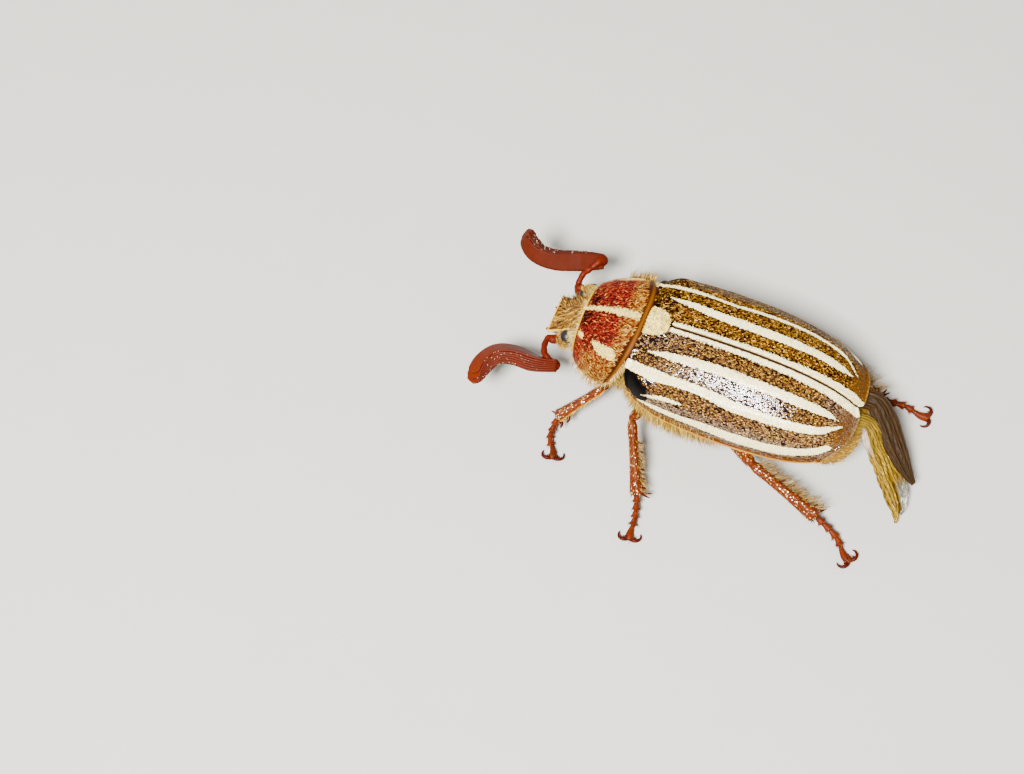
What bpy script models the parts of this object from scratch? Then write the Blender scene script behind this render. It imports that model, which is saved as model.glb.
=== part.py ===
"""A life-size still model of a male ten-lined june beetle, standing on its six feet.

Sizes below are millimetres in the beetle's own frame: y = 0 at the base of the wing cases,
the head towards -Y, the beetle's left side at +X, and the floor at z = 0. The finished
objects are in metres, moved so that the model stands centred over the origin.
"""
import math

import bmesh
import bpy
import numpy as np
from mathutils import Matrix, Vector

MM = 0.001
CENTRE_X = 3.95
CENTRE_Y = 6.29
GAP = 0.32

# Lengthwise profiles of the body, as (y, value) pairs.
CREST = (
    (-0.3, 10.95), (2.4, 11.35), (6.0, 11.6), (10.0, 11.6),
    (14.0, 11.1), (17.0, 10.1), (19.0, 8.8), (20.6, 7.3),
)
HALF_WIDTH = (
    (-0.3, 5.35), (1.2, 6.15), (3.5, 6.7), (7.0, 6.85),
    (11.0, 6.75), (15.0, 6.25), (17.8, 5.4), (20.6, 4.0),
)
RIM = (
    (-0.3, 7.5), (1.5, 6.7), (4.0, 6.2), (8.0, 5.8),
    (12.0, 5.6), (15.0, 5.4), (17.5, 5.5), (20.6, 6.1),
)
BODY_SQUARE = 2.55

# Wing cases. CASE_TURNS are the angles of their columns, from crest to rim.
CASE_THICK = 0.5
CASE_HALF_GAP = 0.16
CASE_TURNS = (0, 6, 12, 18, 26, 36, 47, 58, 69, 80, 90)
CASE_ROWS = 17
CASE_APEX = 20.35
APEX_CUT = 2.1
CASE_BASE = 0.2
SHOULDER_REACH = 0.5
EPIPLEURON_IN = 0.30
EPIPLEURON_DROP = 0.45

# Scutellum, the plate between the bases of the wing cases.
SCUTELLUM_HALF = 1.25
SCUTELLUM_START = 0.2
SCUTELLUM_LENGTH = 1.9
SCUTELLUM_TIP_HALF = 0.12
SCUTELLUM_RISE = 0.1
SCUTELLUM_ROWS = 7
NOTCH_ROOM = 0.66

# Pronotum, a domed shield.
SHIELD_CREST = ((-6.3, 8.65), (-5.0, 9.65), (-3.0, 10.6), (-1.2, 11.0), (-0.1, 11.05))
SHIELD_HALF = ((-6.4, 2.8), (-5.8, 3.8), (-4.6, 4.75), (-3.0, 5.3), (-1.8, 5.2), (-0.1, 4.6))
SHIELD_RIM = ((-6.9, 6.5), (-5.0, 5.9), (-3.0, 5.9), (-1.6, 6.9), (-0.1, 8.3))
SHIELD_FRONT = -6.25
SHIELD_BACK = -0.15
SHIELD_FRONT_CORNER = -6.15
SHIELD_BACK_CORNER = -1.8
SHIELD_THICK = 0.55
SHIELD_SQUARE = 2.15
SHIELD_ROWS = 9
SHIELD_COLUMNS = 17

# Underside of the body. The inset is how far the abdomen's side lies inside the wing cases' rim.
BELLY = (
    (-5.6, 4.6), (-4.0, 3.3), (-2.0, 2.9), (0.0, 2.9), (3.0, 2.6),
    (9.0, 2.6), (13.0, 3.0), (16.5, 3.6), (21.0, 4.9),
)
CORE_INSET = 1.1
ABDOMEN_START = 9.33
ABDOMEN_END = 19.6
ABDOMEN_RINGS = 6
ABDOMEN_STEP = 0.12
ABDOMEN_INSET = ((9.33, 1.2), (16.5, 1.2), (18.2, 1.0), (19.6, 0.4))
ABDOMEN_TIP = (
    (20.2, 3.85, 5.6, 5.05, 4.5),
    (20.7, 3.15, 5.3, 4.95, 4.55),
    (21.0, 2.2, 5.1, 4.85, 4.6),
)

# Legs: start in the body, knee, ankle and tip of the last foot joint.
LEGS = {
    "fore_left": ((1.7, -3.2, 3.1), (4.9, -2.2, 4.3), (8.4, -5.75, 1.5), (12.1, -4.8, 0.27)),
    "fore_right": ((-1.7, -3.2, 3.1), (-6.4, -3.2, 4.9), (-6.5, -4.9, 1.3), (-5.3, -8.0, 0.27)),
    "mid_left": ((2.2, 2.6, 2.7), (7.0, 1.25, 4.4), (12.8, 4.05, 1.4), (16.8, 4.8, 0.27)),
    "mid_right": ((-2.2, 2.6, 2.7), (-7.1, 0.6, 4.5), (-8.3, 5.9, 1.3), (-8.2, 9.9, 0.27)),
    "hind_left": ((2.3, 7.2, 2.6), (6.9, 12.8, 3.9), (8.7, 19.85, 1.5), (11.25, 24.05, 0.27)),
    "hind_right": ((-2.3, 7.2, 2.6), (-6.8, 14.2, 4.0), (-4.4, 21.7, 1.4), (-4.8, 26.6, 0.27)),
}
FOOT_BOW = {
    "fore_left": (-0.05, -0.5), "fore_right": (0.0, 0.0), "mid_left": (0.0, 0.15),
    "mid_right": (0.0, 0.0), "hind_left": (-0.35, 0.25), "hind_right": (-0.4, 0.05),
}
FEMUR_RADIUS = {"fore": 0.72, "mid": 0.70, "hind": 0.86}
TIBIA_RADIUS = {"fore": 0.43, "mid": 0.43, "hind": 0.51}
THIGH_SHARES = (0.0, 0.06, 0.2, 0.42, 0.65, 0.85, 0.96, 1.0)
THIGH_SWELLS = (0.45, 0.75, 0.95, 1.0, 0.9, 0.72, 0.55, 0.3)
SHIN_SHARES = (0.0, 0.07, 0.3, 0.6, 0.85, 1.0)
SHIN_SWELLS = (0.62, 0.85, 0.8, 0.92, 1.1, 1.15)
JOINT_BENT = {"knee": (0.36, 0.36), "ankle": (0.32, 0.38)}
FOOT_RADIUS = 0.3
FOOT_JOINTS = 5
FOOT_SWELLS = (0.78, 1.0, 1.18)
CLAW_LENGTH = 0.85
CLAW_RADIUS = 0.16
CLAW_BEND = ((0.0, 0.05, 0.02), (0.3, 0.55, 0.2), (0.2, 1.0, 0.12), (-0.25, 1.15, -0.08))
CLAW_TAPERS = (1.0, 1.0, 0.75, 0.4)

# Head, as stations along the body: y, half width, top, waist, bottom.
HEAD_STATIONS = (
    (-5.9, 2.15, 7.7, 6.3, 4.9),
    (-6.45, 2.45, 7.7, 6.4, 4.6),
    (-7.05, 2.45, 7.2, 6.2, 4.4),
    (-7.6, 2.05, 6.75, 5.9, 4.4),
    (-8.2, 1.85, 6.25, 5.7, 4.5),
    (-8.75, 1.95, 5.8, 5.45, 4.65),
    (-9.2, 2.05, 5.4, 5.2, 4.9),
)
HEAD_SQUARE = 2.6
HEAD_RIM = (
    (-1.75, -7.8, 6.4), (-1.85, -8.45, 6.1), (-1.95, -9.07, 5.55), (0.0, -9.23, 5.67),
    (1.95, -9.07, 5.55), (1.85, -8.45, 6.1), (1.75, -7.8, 6.4),
)
HEAD_RIM_RADII = (0.22, 0.24, 0.28, 0.26, 0.28, 0.24, 0.22)
BROW = ((1.7, -7.75, 6.3), (2.35, -7.65, 6.15), (2.75, -7.45, 6.1))
BROW_RADII = (0.24, 0.26, 0.22)
PALP = ((0.8, -8.1, 4.8), (1.0, -8.6, 4.1), (1.15, -9.2, 3.8), (1.2, -9.8, 3.9))
PALP_RADII = (0.3, 0.26, 0.25, 0.14)
LIP_PLACE = (0.0, -8.3, 4.7)
LIP_SIZE = (1.15, 0.9, 0.5)
EYE_RADIUS = 0.72
EYE_PLACE = (2.2, -6.97, 6.45)

# Feelers: the stalk's joints, and the club's centre line.
STALKS = {
    "left": ((2.55, -7.7, 5.3), (2.75, -8.7, 5.5), (3.45, -8.85, 5.55), (4.2, -8.55, 5.6)),
    "right": ((-2.6, -7.85, 5.4), (-3.15, -8.3, 5.65), (-3.8, -8.2, 5.9), (-4.18, -7.87, 6.1)),
}
STALK_RADII = (0.34, 0.38, 0.28, 0.32)
CLUBS = {
    "left": (
        (5.15, -6.95, 5.6), (5.6, -9.0, 5.7), (5.6, -11.1, 5.8),
        (6.1, -12.7, 5.7), (7.6, -13.6, 5.5), (9.5, -13.65, 5.3),
    ),
    "right": (
        (-6.25, -6.8, 6.4), (-5.3, -9.05, 6.7), (-4.5, -11.0, 7.0),
        (-4.35, -12.7, 7.4), (-5.0, -13.8, 7.8), (-6.15, -14.2, 8.2),
    ),
}
CLUB_LEAN = {"left": 10.0, "right": -48.0}
CLUB_LEAVES = 4
CLUB_STACK = 1.5
CLUB_HALF_BREADTH = 0.95
CLUB_GROOVE = 0.14
CLUB_RINGS = 15

# Hind wings: the centre line of each folded tip and its half width, from under the wing case
# to the air. A height of None stands for just under the wing case.
WINGS = {
    "left": (
        (1.5, 15.0, None, 1.05), (1.3, 17.5, None, 1.0), (1.05, 19.7, None, 0.8),
        (0.6, 21.25, 6.5, 0.78), (1.35, 22.5, 4.9, 0.92), (2.35, 23.9, 3.75, 1.08),
        (3.4, 25.2, 2.7, 1.15), (4.4, 26.2, 1.75, 1.05), (5.5, 26.75, 1.1, 0.55),
        (6.3, 26.9, 0.75, 0.2),
    ),
    "right": (
        (-1.5, 15.0, None, 1.05), (-1.4, 17.5, None, 1.0), (-1.4, 19.7, None, 0.85),
        (-1.7, 21.3, 6.9, 0.8), (-0.9, 22.7, 5.9, 0.8), (0.15, 23.95, 4.8, 0.65),
        (1.15, 25.15, 3.8, 0.4), (2.1, 26.2, 2.95, 0.32), (2.7, 27.0, 2.35, 0.2),
    ),
}
WING_THICK = 0.5
WING_UNDER = 1.08
WING_SPREAD = 1.8
WING_ROWS = 17
WING_VEINS = (0.0, 0.16, -0.05, 0.14, -0.05, 0.16, 0.0)
WING_BOW = 0.22
WING_OUT = 0.42
WING_TWIST = (0.25, 0.35, 1.0)

# Colours as (red, green, blue), roughness.
LOOKS = {
    "case": ((0.23, 0.13, 0.03), 0.45),
    "shield": ((0.20, 0.03, 0.02), 0.4),
    "cream": ((0.80, 0.72, 0.50), 0.6),
    "head": ((0.42, 0.27, 0.07), 0.5),
    "eye": ((0.02, 0.02, 0.025), 0.15),
    "underside": ((0.50, 0.34, 0.14), 0.6),
    "leg": ((0.30, 0.06, 0.025), 0.25),
    "club": ((0.27, 0.05, 0.03), 0.5),
    "wing": ((0.45, 0.33, 0.08), 0.35),
}


def clear_scene():
    """Remove whatever the startup scene holds."""
    for old in list(bpy.data.objects):
        bpy.data.objects.remove(old, do_unlink=True)


def follow(stations, place):
    """Smooth value at a place along (place, value) pairs, held flat past the ends."""
    places = [station[0] for station in stations]
    values = [np.array(station[1], dtype=float) for station in stations]
    if place <= places[0]:
        return values[0]
    if place >= places[-1]:
        return values[-1]
    k = max(index for index in range(len(places) - 1) if places[index] <= place)
    span = places[k + 1] - places[k]

    def slope(index):
        low = max(index - 1, 0)
        high = min(index + 1, len(places) - 1)
        return (values[high] - values[low]) / (places[high] - places[low])

    t = (place - places[k]) / span
    start = (2 * t**3 - 3 * t**2 + 1) * values[k] + (t**3 - 2 * t**2 + t) * span * slope(k)
    end = (-2 * t**3 + 3 * t**2) * values[k + 1] + (t**3 - t**2) * span * slope(k + 1)
    return start + end


def route(points, count):
    """Evenly spaced points on a smooth curve through the given points."""
    points = [np.array(point, dtype=float) for point in points]
    lengths = [0.0]
    for a, b in zip(points, points[1:]):
        lengths.append(lengths[-1] + float(np.linalg.norm(b - a)))
    stations = tuple(zip(lengths, points))
    return [follow(stations, lengths[-1] * k / (count - 1)) for k in range(count)]


def rounded(angle, square):
    """Cosine and sine of an angle, squared off towards a box as square rises past 2."""
    c = math.cos(angle)
    s = math.sin(angle)
    power = 2 / square
    return math.copysign(abs(c) ** power, c), math.copysign(abs(s) ** power, s)


def case_point(turn, y):
    """A point of the wing cases' outer surface, turn being 0 at the crest and 90 at the rim."""
    rim = float(follow(RIM, y))
    up, out = rounded(math.radians(turn), BODY_SQUARE)
    return float(follow(HALF_WIDTH, y)) * out, y, rim + (float(follow(CREST, y)) - rim) * up


def case_height(x, y):
    """Height of the wing cases' outer surface over a point of the plan."""
    rim = float(follow(RIM, y))
    share = min(abs(x) / float(follow(HALF_WIDTH, y)), 1.0)
    up = (1.0 - share**BODY_SQUARE) ** (1.0 / BODY_SQUARE)
    return rim + (float(follow(CREST, y)) - rim) * up


def under_case(x, y, depth):
    """Height under the wing cases, depth being measured square to their slope along the body."""
    step = 0.2
    slope = (float(follow(CREST, y + step)) - float(follow(CREST, y - step))) / (2 * step)
    return case_height(x, y) - depth * math.sqrt(1.0 + slope**2)


def make_object(name, mesh, look):
    """Link a mesh as a named object with its material, moved to the model's frame."""
    mesh.transform(Matrix.Translation((-CENTRE_X * MM, -CENTRE_Y * MM, 0.0)))
    mesh.shade_smooth()
    obj = bpy.data.objects.new(name, mesh)
    mesh.materials.clear()
    mesh.materials.append(MATERIALS[look])
    BEETLE.objects.link(obj)
    return obj


def make_material(name, colour, roughness):
    """A plain Principled material."""
    material = bpy.data.materials.new(name)
    material.use_nodes = True
    shader = material.node_tree.nodes["Principled BSDF"]
    shader.inputs["Base Color"].default_value = (*colour, 1.0)
    shader.inputs["Roughness"].default_value = roughness
    shader.inputs["Metallic"].default_value = 0.0
    return material


def mesh_from(bm, name):
    """Turn a bmesh, in metres, into a mesh whose faces point out."""
    bmesh.ops.recalc_face_normals(bm, faces=bm.faces[:])
    mesh = bpy.data.meshes.new(name)
    bm.to_mesh(mesh)
    bm.free()
    return mesh


def loft(rings):
    """A closed bmesh through rings of equally many points, each end closed by a fan."""
    bm = bmesh.new()
    rows = [[bm.verts.new(Vector(point) * MM) for point in ring] for ring in rings]
    count = len(rows[0])
    for row, after in zip(rows, rows[1:]):
        for k in range(count):
            n = (k + 1) % count
            bm.faces.new((row[k], row[n], after[n]))
            bm.faces.new((row[k], after[n], after[k]))
    for row in (rows[0], rows[-1]):
        middle = sum((vert.co for vert in row), Vector()) / count
        hub = bm.verts.new(middle)
        for k in range(count):
            bm.faces.new((row[k], row[(k + 1) % count], hub))
    return bm


def sheet(rows):
    """An open triangulated bmesh over a grid of points, facing up."""
    bm = bmesh.new()
    grid = [[bm.verts.new(Vector(point) * MM) for point in row] for row in rows]
    for row, after in zip(grid, grid[1:]):
        for k in range(len(row) - 1):
            bm.faces.new((row[k], row[k + 1], after[k + 1]))
            bm.faces.new((row[k], after[k + 1], after[k]))
    bmesh.ops.recalc_face_normals(bm, faces=bm.faces[:])
    up = sum(face.normal.z * face.calc_area() for face in bm.faces)
    if up < 0:
        bmesh.ops.reverse_faces(bm, faces=bm.faces[:])
    return bm


def shell(name, rows, thickness, look):
    """A sheet thickened downwards by Solidify."""
    bm = sheet(rows)
    mesh = bpy.data.meshes.new(name)
    bm.to_mesh(mesh)
    bm.free()
    obj = make_object(name, mesh, look)
    solid = obj.modifiers.new("thickness", "SOLIDIFY")
    solid.thickness = thickness * MM
    solid.offset = -1.0
    return obj


def section(y, half_width, top, waist, bottom, count, square=BODY_SQUARE):
    """A closed cross-section of the body at one y."""
    ring = []
    for k in range(count):
        out, up = rounded(2 * math.pi * k / count, square)
        reach = top - waist if up > 0 else waist - bottom
        ring.append((half_width * out, y, waist + reach * up))
    return ring


def tube(points, radii, resolution=2):
    """A round bar with filled caps, as a mesh made from a bevelled curve."""
    curve = bpy.data.curves.new("bar", "CURVE")
    curve.dimensions = "3D"
    curve.bevel_depth = MM
    curve.bevel_resolution = resolution
    curve.use_fill_caps = True
    spline = curve.splines.new("POLY")
    spline.points.add(len(points) - 1)
    for spot, point, radius in zip(spline.points, points, radii):
        spot.co = (*(np.array(point, dtype=float) * MM), 1.0)
        spot.radius = radius
    bar = bpy.data.objects.new("bar", curve)
    bpy.context.scene.collection.objects.link(bar)
    graph = bpy.context.evaluated_depsgraph_get()
    mesh = bpy.data.meshes.new_from_object(bar.evaluated_get(graph))
    mesh.transform(bar.matrix_world)
    bpy.data.objects.remove(bar, do_unlink=True)
    bm = bmesh.new()
    bm.from_mesh(mesh)
    bmesh.ops.remove_doubles(bm, verts=bm.verts[:], dist=1e-7)
    bmesh.ops.triangulate(bm, faces=bm.faces[:])
    return mesh_from(bm, "bar")


def spike(root, tip, radius, sides=6):
    """A cone from a sunk root to its tip."""
    root = Vector(root) * MM
    tip = Vector(tip) * MM
    bm = bmesh.new()
    bmesh.ops.create_cone(
        bm, cap_ends=True, cap_tris=True, segments=sides,
        radius1=radius * MM, radius2=0.25 * radius * MM, depth=(tip - root).length,
    )
    turn = (tip - root).to_track_quat("Z", "Y").to_matrix().to_4x4()
    bmesh.ops.transform(bm, matrix=Matrix.Translation((root + tip) / 2) @ turn, verts=bm.verts[:])
    return mesh_from(bm, "spike")


def ball(centre, radius, squash=(1.0, 1.0, 1.0), segments=12, rings=8):
    """A sphere or ellipsoid."""
    bm = bmesh.new()
    bmesh.ops.create_uvsphere(bm, u_segments=segments, v_segments=rings, radius=radius * MM)
    bmesh.ops.scale(bm, vec=Vector(squash), verts=bm.verts[:])
    bmesh.ops.translate(bm, vec=Vector(centre) * MM, verts=bm.verts[:])
    bmesh.ops.triangulate(bm, faces=bm.faces[:])
    return mesh_from(bm, "ball")


def combine(base, others, operation, solver="EXACT"):
    """One Boolean of a base mesh with a collection of closed meshes, applied."""
    group = bpy.data.collections.new("pieces")
    for mesh in others:
        piece = bpy.data.objects.new("piece", mesh)
        group.objects.link(piece)
        piece.hide_render = True
        piece.display_type = "WIRE"
    body = bpy.data.objects.new("base", base)
    bpy.context.scene.collection.objects.link(body)
    bpy.context.scene.collection.children.link(group)
    cut = body.modifiers.new("join", "BOOLEAN")
    cut.operand_type = "COLLECTION"
    cut.collection = group
    cut.operation = operation
    cut.solver = solver
    if solver == "EXACT":
        cut.use_self = True
    graph = bpy.context.evaluated_depsgraph_get()
    result = bpy.data.meshes.new_from_object(body.evaluated_get(graph))
    for piece in list(group.objects):
        bpy.data.objects.remove(piece, do_unlink=True)
    bpy.data.objects.remove(body, do_unlink=True)
    bpy.data.collections.remove(group)
    return largest_surface(result)


def largest_surface(mesh):
    """Keep only the largest closed surface of a mesh."""
    bm = bmesh.new()
    bm.from_mesh(mesh)
    bmesh.ops.triangulate(bm, faces=bm.faces[:])
    bmesh.ops.dissolve_degenerate(bm, dist=2e-6, edges=bm.edges[:])
    bmesh.ops.triangulate(bm, faces=bm.faces[:])
    todo = set(bm.verts)
    groups = []
    while todo:
        stack = [todo.pop()]
        group = set(stack)
        while stack:
            for edge in stack.pop().link_edges:
                for vert in edge.verts:
                    if vert in todo:
                        todo.discard(vert)
                        group.add(vert)
                        stack.append(vert)
        groups.append(group)
    groups.sort(key=len)
    for group in groups[:-1]:
        bmesh.ops.delete(bm, geom=list(group), context="VERTS")
    return mesh_from(bm, "joined")


def above_floor(mesh):
    """Press whatever dips below the floor flat onto it."""
    for vert in mesh.vertices:
        vert.co.z = max(vert.co.z, 0.0)
    return mesh


def build_wing_case(side):
    """One wing case: a dome whose shoulder, notch for the scutellum and apex are rounded."""
    sign = 1.0 if side == "left" else -1.0
    notch_half = SCUTELLUM_HALF + NOTCH_ROOM
    notch_back = SCUTELLUM_START + SCUTELLUM_LENGTH + 1.3 * GAP
    columns = []
    for turn in CASE_TURNS:
        share = turn / 90.0
        x_base = case_point(turn, 1.0)[0]
        inner = max(1.0 - (x_base / notch_half) ** 2, 0.0)
        start = CASE_BASE - SHOULDER_REACH * math.sin(math.pi * share**1.2)
        start += (notch_back - start) * math.sqrt(inner)
        end = CASE_APEX - APEX_CUT * share**2.6
        column = []
        for row in range(CASE_ROWS):
            u = row / (CASE_ROWS - 1)
            x, y, z = case_point(turn, start + (end - start) * u)
            column.append((sign * max(x, CASE_HALF_GAP), y, z))
        columns.append(column)
    under = [(sign * (abs(x) - EPIPLEURON_IN), y, z - EPIPLEURON_DROP) for x, y, z in columns[-1]]
    columns.append(under)
    shell("elytron_" + side, columns, CASE_THICK, "case")


def build_scutellum():
    """A small domed heart-shaped plate."""
    rows = []
    for k in range(SCUTELLUM_ROWS):
        u = k / (SCUTELLUM_ROWS - 1)
        y = SCUTELLUM_START + SCUTELLUM_LENGTH * u
        half = SCUTELLUM_HALF * math.sqrt(max(1.0 - u**2.2, 0.0)) + SCUTELLUM_TIP_HALF
        row = []
        for v in (-1, -0.6, 0, 0.6, 1):
            row.append((half * v, y, case_height(half * v, y) + SCUTELLUM_RISE * (1 - v * v)))
        rows.append(row)
    shell("scutellum", rows, CASE_THICK, "cream")


def shield_point(share, across):
    """A point of the pronotum: share runs front to back, across from -1 to 1 over the dome."""
    turn = abs(across) * 90.0
    front = SHIELD_FRONT + (SHIELD_FRONT_CORNER - SHIELD_FRONT) * (turn / 90.0) ** 2
    back = SHIELD_BACK + (SHIELD_BACK_CORNER - SHIELD_BACK) * (turn / 90.0) ** 2.4
    y = front + (back - front) * share
    rim = float(follow(SHIELD_RIM, y))
    up, out = rounded(math.radians(turn), SHIELD_SQUARE)
    x = math.copysign(float(follow(SHIELD_HALF, y)) * out, across)
    return x, y, rim + (float(follow(SHIELD_CREST, y)) - rim) * up


def build_pronotum():
    """The domed shield behind the head."""
    rows = []
    for k in range(SHIELD_ROWS):
        share = k / (SHIELD_ROWS - 1)
        across = [-1 + 2 * column / (SHIELD_COLUMNS - 1) for column in range(SHIELD_COLUMNS)]
        rows.append([shield_point(share, v) for v in across])
    shell("pronotum", rows, SHIELD_THICK, "shield")


def leg_room(names):
    """Bars that clear the body around the roots and thighs of the named legs."""
    bars = []
    for name in names:
        root, knee = (np.array(point) for point in LEGS[name][:2])
        radius = FEMUR_RADIUS[name.split("_")[0]]
        bars.append(tube(*thigh_line(root, knee, radius, GAP), resolution=3))
    return bars


def thigh_line(root, knee, radius, extra=0.0):
    """Points and radii of a thigh, thickest before its middle and round at the knee."""
    pad = extra / float(np.linalg.norm(knee - root))
    points = []
    for k, share in enumerate(THIGH_SHARES):
        shift = -pad if k == 0 else pad if k == len(THIGH_SHARES) - 1 else 0.0
        points.append(root + (knee - root) * (share + shift))
    return points, [radius * swell + extra for swell in THIGH_SWELLS]


def build_prothorax():
    """The core under the pronotum, which carries the fore legs."""
    rings = []
    for y in np.linspace(-5.5, -0.55, 8):
        crest = float(follow(SHIELD_CREST, y))
        rim = float(follow(SHIELD_RIM, y))
        half = float(follow(SHIELD_HALF, y))
        top = crest - CORE_INSET - 0.1
        rings.append(section(y, half - CORE_INSET, top, rim - 0.2, float(follow(BELLY, y)), 20))
    core = mesh_from(loft(rings), "core")
    core = combine(core, leg_room(("fore_left", "fore_right")), "DIFFERENCE")
    make_object("prothorax", core, "underside")


def build_thorax():
    """The body under the front half of the wing cases, which carries the other legs."""
    rings = []
    for y in np.linspace(-0.15, 9.0, 9):
        crest = float(follow(CREST, y)) - CASE_THICK - GAP - 0.15
        half = float(follow(HALF_WIDTH, y)) - CORE_INSET
        if y < 0.5:
            crest -= 0.9
            half -= 0.5
        rings.append(section(y, half, crest, float(follow(RIM, y)) - 0.1, float(follow(BELLY, y)), 24))
    core = mesh_from(loft(rings), "core")
    names = ("mid_left", "mid_right", "hind_left", "hind_right")
    core = combine(core, leg_room(names), "DIFFERENCE")
    make_object("thorax", core, "underside")


def build_abdomen():
    """The ringed rear of the body, with the folded wings' room above it."""
    rings = []
    edges = np.linspace(ABDOMEN_START, ABDOMEN_END, ABDOMEN_RINGS + 1)
    for first, last in zip(edges, edges[1:]):
        for y, lift in ((first, ABDOMEN_STEP), (last - 0.1, 0.0)):
            top = under_case(WING_SPREAD, y, CASE_THICK + WING_THICK + 4.2 * GAP)
            half = float(follow(HALF_WIDTH, y)) - float(follow(ABDOMEN_INSET, y)) - lift
            waist = min(float(follow(RIM, y)) - 0.05, 5.35)
            rings.append(section(y, half, top, waist, float(follow(BELLY, y)) + lift, 24))
    for y, half, top, waist, bottom in ABDOMEN_TIP:
        rings.append(section(y, half, top, waist, bottom, 24))
    core = mesh_from(loft(rings), "core")
    core = combine(core, leg_room(("hind_left", "hind_right")), "DIFFERENCE")
    make_object("abdomen", core, "underside")


def build_head():
    """The head with its squared, turned-up front plate, sockets for the eyes and short palps."""
    rings = [section(*station, 20, HEAD_SQUARE) for station in HEAD_STATIONS]
    head = mesh_from(loft(rings), "head")
    pieces = [tube(HEAD_RIM, HEAD_RIM_RADII), ball(LIP_PLACE, 1.0, LIP_SIZE)]
    for sign in (1.0, -1.0):
        pieces.append(tube([(sign * x, y, z) for x, y, z in BROW], BROW_RADII))
        pieces.append(tube([(sign * x, y, z) for x, y, z in PALP], PALP_RADII))
    head = combine(head, pieces, "UNION")
    places = {"left": EYE_PLACE, "right": (-EYE_PLACE[0], *EYE_PLACE[1:])}
    head = combine(head, [ball(place, EYE_RADIUS + GAP) for place in places.values()], "DIFFERENCE")
    make_object("head", head, "head")
    for side, place in places.items():
        make_object("eye_" + side, ball(place, EYE_RADIUS, segments=14, rings=9), "eye")


def build_feelers():
    """Each feeler: a jointed stalk and a long bent club of leaves."""
    for side, points in STALKS.items():
        places = route(points, 9)
        stations = tuple(zip((0, 2.7, 5.4, 8), STALK_RADII))
        radii = [float(follow(stations, k)) for k in range(9)]
        make_object("antenna_" + side, tube(places, radii), "leg")
    for side, points in CLUBS.items():
        make_object("club_" + side, mesh_from(loft(club_rings(side, points)), "club"), "club")


def club_rings(side, points):
    """Sections of a club: leaves side by side with a groove between, ending one by one."""
    places = route(points, CLUB_RINGS)
    lean = math.radians(CLUB_LEAN[side])
    mirror = 1.0 if side == "left" else -1.0
    pitch = CLUB_STACK / CLUB_LEAVES
    rings = []
    for k, place in enumerate(places):
        share = k / (CLUB_RINGS - 1)
        ahead = places[min(k + 1, CLUB_RINGS - 1)] - places[max(k - 1, 0)]
        ahead /= np.linalg.norm(ahead)
        side_way = np.cross(ahead, (0.0, 0.0, 1.0)) * -mirror
        side_way /= np.linalg.norm(side_way)
        breadth_way = np.cross(side_way, ahead)
        stack = math.cos(lean) * side_way + math.sin(lean) * breadth_way
        breadth = -math.sin(lean) * side_way + math.cos(lean) * breadth_way
        halves = [leaf_half(leaf, share) for leaf in range(CLUB_LEAVES)]
        squeeze = 0.72 + 0.28 * min(1.0, 4.0 * share) - 0.35 * max(share - 0.8, 0.0) / 0.2
        outline = []
        for leaf, half in enumerate(halves):
            low = -CLUB_STACK / 2 + leaf * pitch
            near = low + (CLUB_GROOVE / 2 if leaf else 0.0)
            far = low + pitch - (CLUB_GROOVE / 2 if leaf < CLUB_LEAVES - 1 else 0.0)
            outline.append((near, half * (0.8 if leaf == 0 else 1.0)))
            outline.append((far, half * (0.8 if leaf == CLUB_LEAVES - 1 else 1.0)))
            if leaf < CLUB_LEAVES - 1:
                outline.append((low + pitch, 0.74 * min(half, halves[leaf + 1])))
        outline += [(a, -b) for a, b in reversed(outline)]
        rings.append([place + stack * a * squeeze + breadth * b for a, b in outline])
    return rings


def leaf_half(leaf, share):
    """Half breadth of one leaf at a share of the club's length, the outer leaves shorter."""
    reach = (0.93, 1.0, 0.97, 0.88)[leaf]
    swell = 0.62 + 0.38 * math.sin(math.pi * min(share * 1.25 + 0.12, 0.5)) - 0.25 * share**3
    left = max(1.0 - share / reach, 0.0)
    return CLUB_HALF_BREADTH * max(swell * min(1.0, (left * 5.0 + 0.03) ** 0.6), 0.22)


def build_wings():
    """The folded tips of the hind wings, out from under the wing cases and drooping."""
    for side, points in WINGS.items():
        places = []
        for x, y, z, half in points:
            if z is None:
                z = under_case(x, y, WING_UNDER)
            places.append((x, y, z, half))
        stations = route(places, WING_ROWS)
        centre = [station[:3] for station in stations]
        rows = []
        for k, place in enumerate(centre):
            share = k / (WING_ROWS - 1)
            half = float(stations[k][3])
            ahead = centre[min(k + 1, WING_ROWS - 1)] - centre[max(k - 1, 0)]
            ahead /= np.linalg.norm(ahead)
            across = np.cross(ahead, WING_TWIST if share > WING_OUT else (0.0, 0.0, 1.0))
            across /= np.linalg.norm(across)
            up = np.cross(across, ahead)
            outside = min(max((share - WING_OUT) * 8.0, 0.0), 1.0) * min(half, 1.0)
            row = []
            for index, vein in enumerate(WING_VEINS):
                v = -1 + 2 * index / (len(WING_VEINS) - 1)
                row.append(place + across * half * v + up * (vein - WING_BOW * v * v) * outside)
            rows.append(row)
        shell("hindwing_" + side, rows, WING_THICK, "wing")


def joint_reach(joint, before, after):
    """How far past a joint the next segment starts, further where the leg folds back."""
    straight, folded = JOINT_BENT[joint]
    fold = -float(np.dot(before, after)) / float(np.linalg.norm(before) * np.linalg.norm(after))
    return straight + folded * (1.0 + fold)


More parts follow.
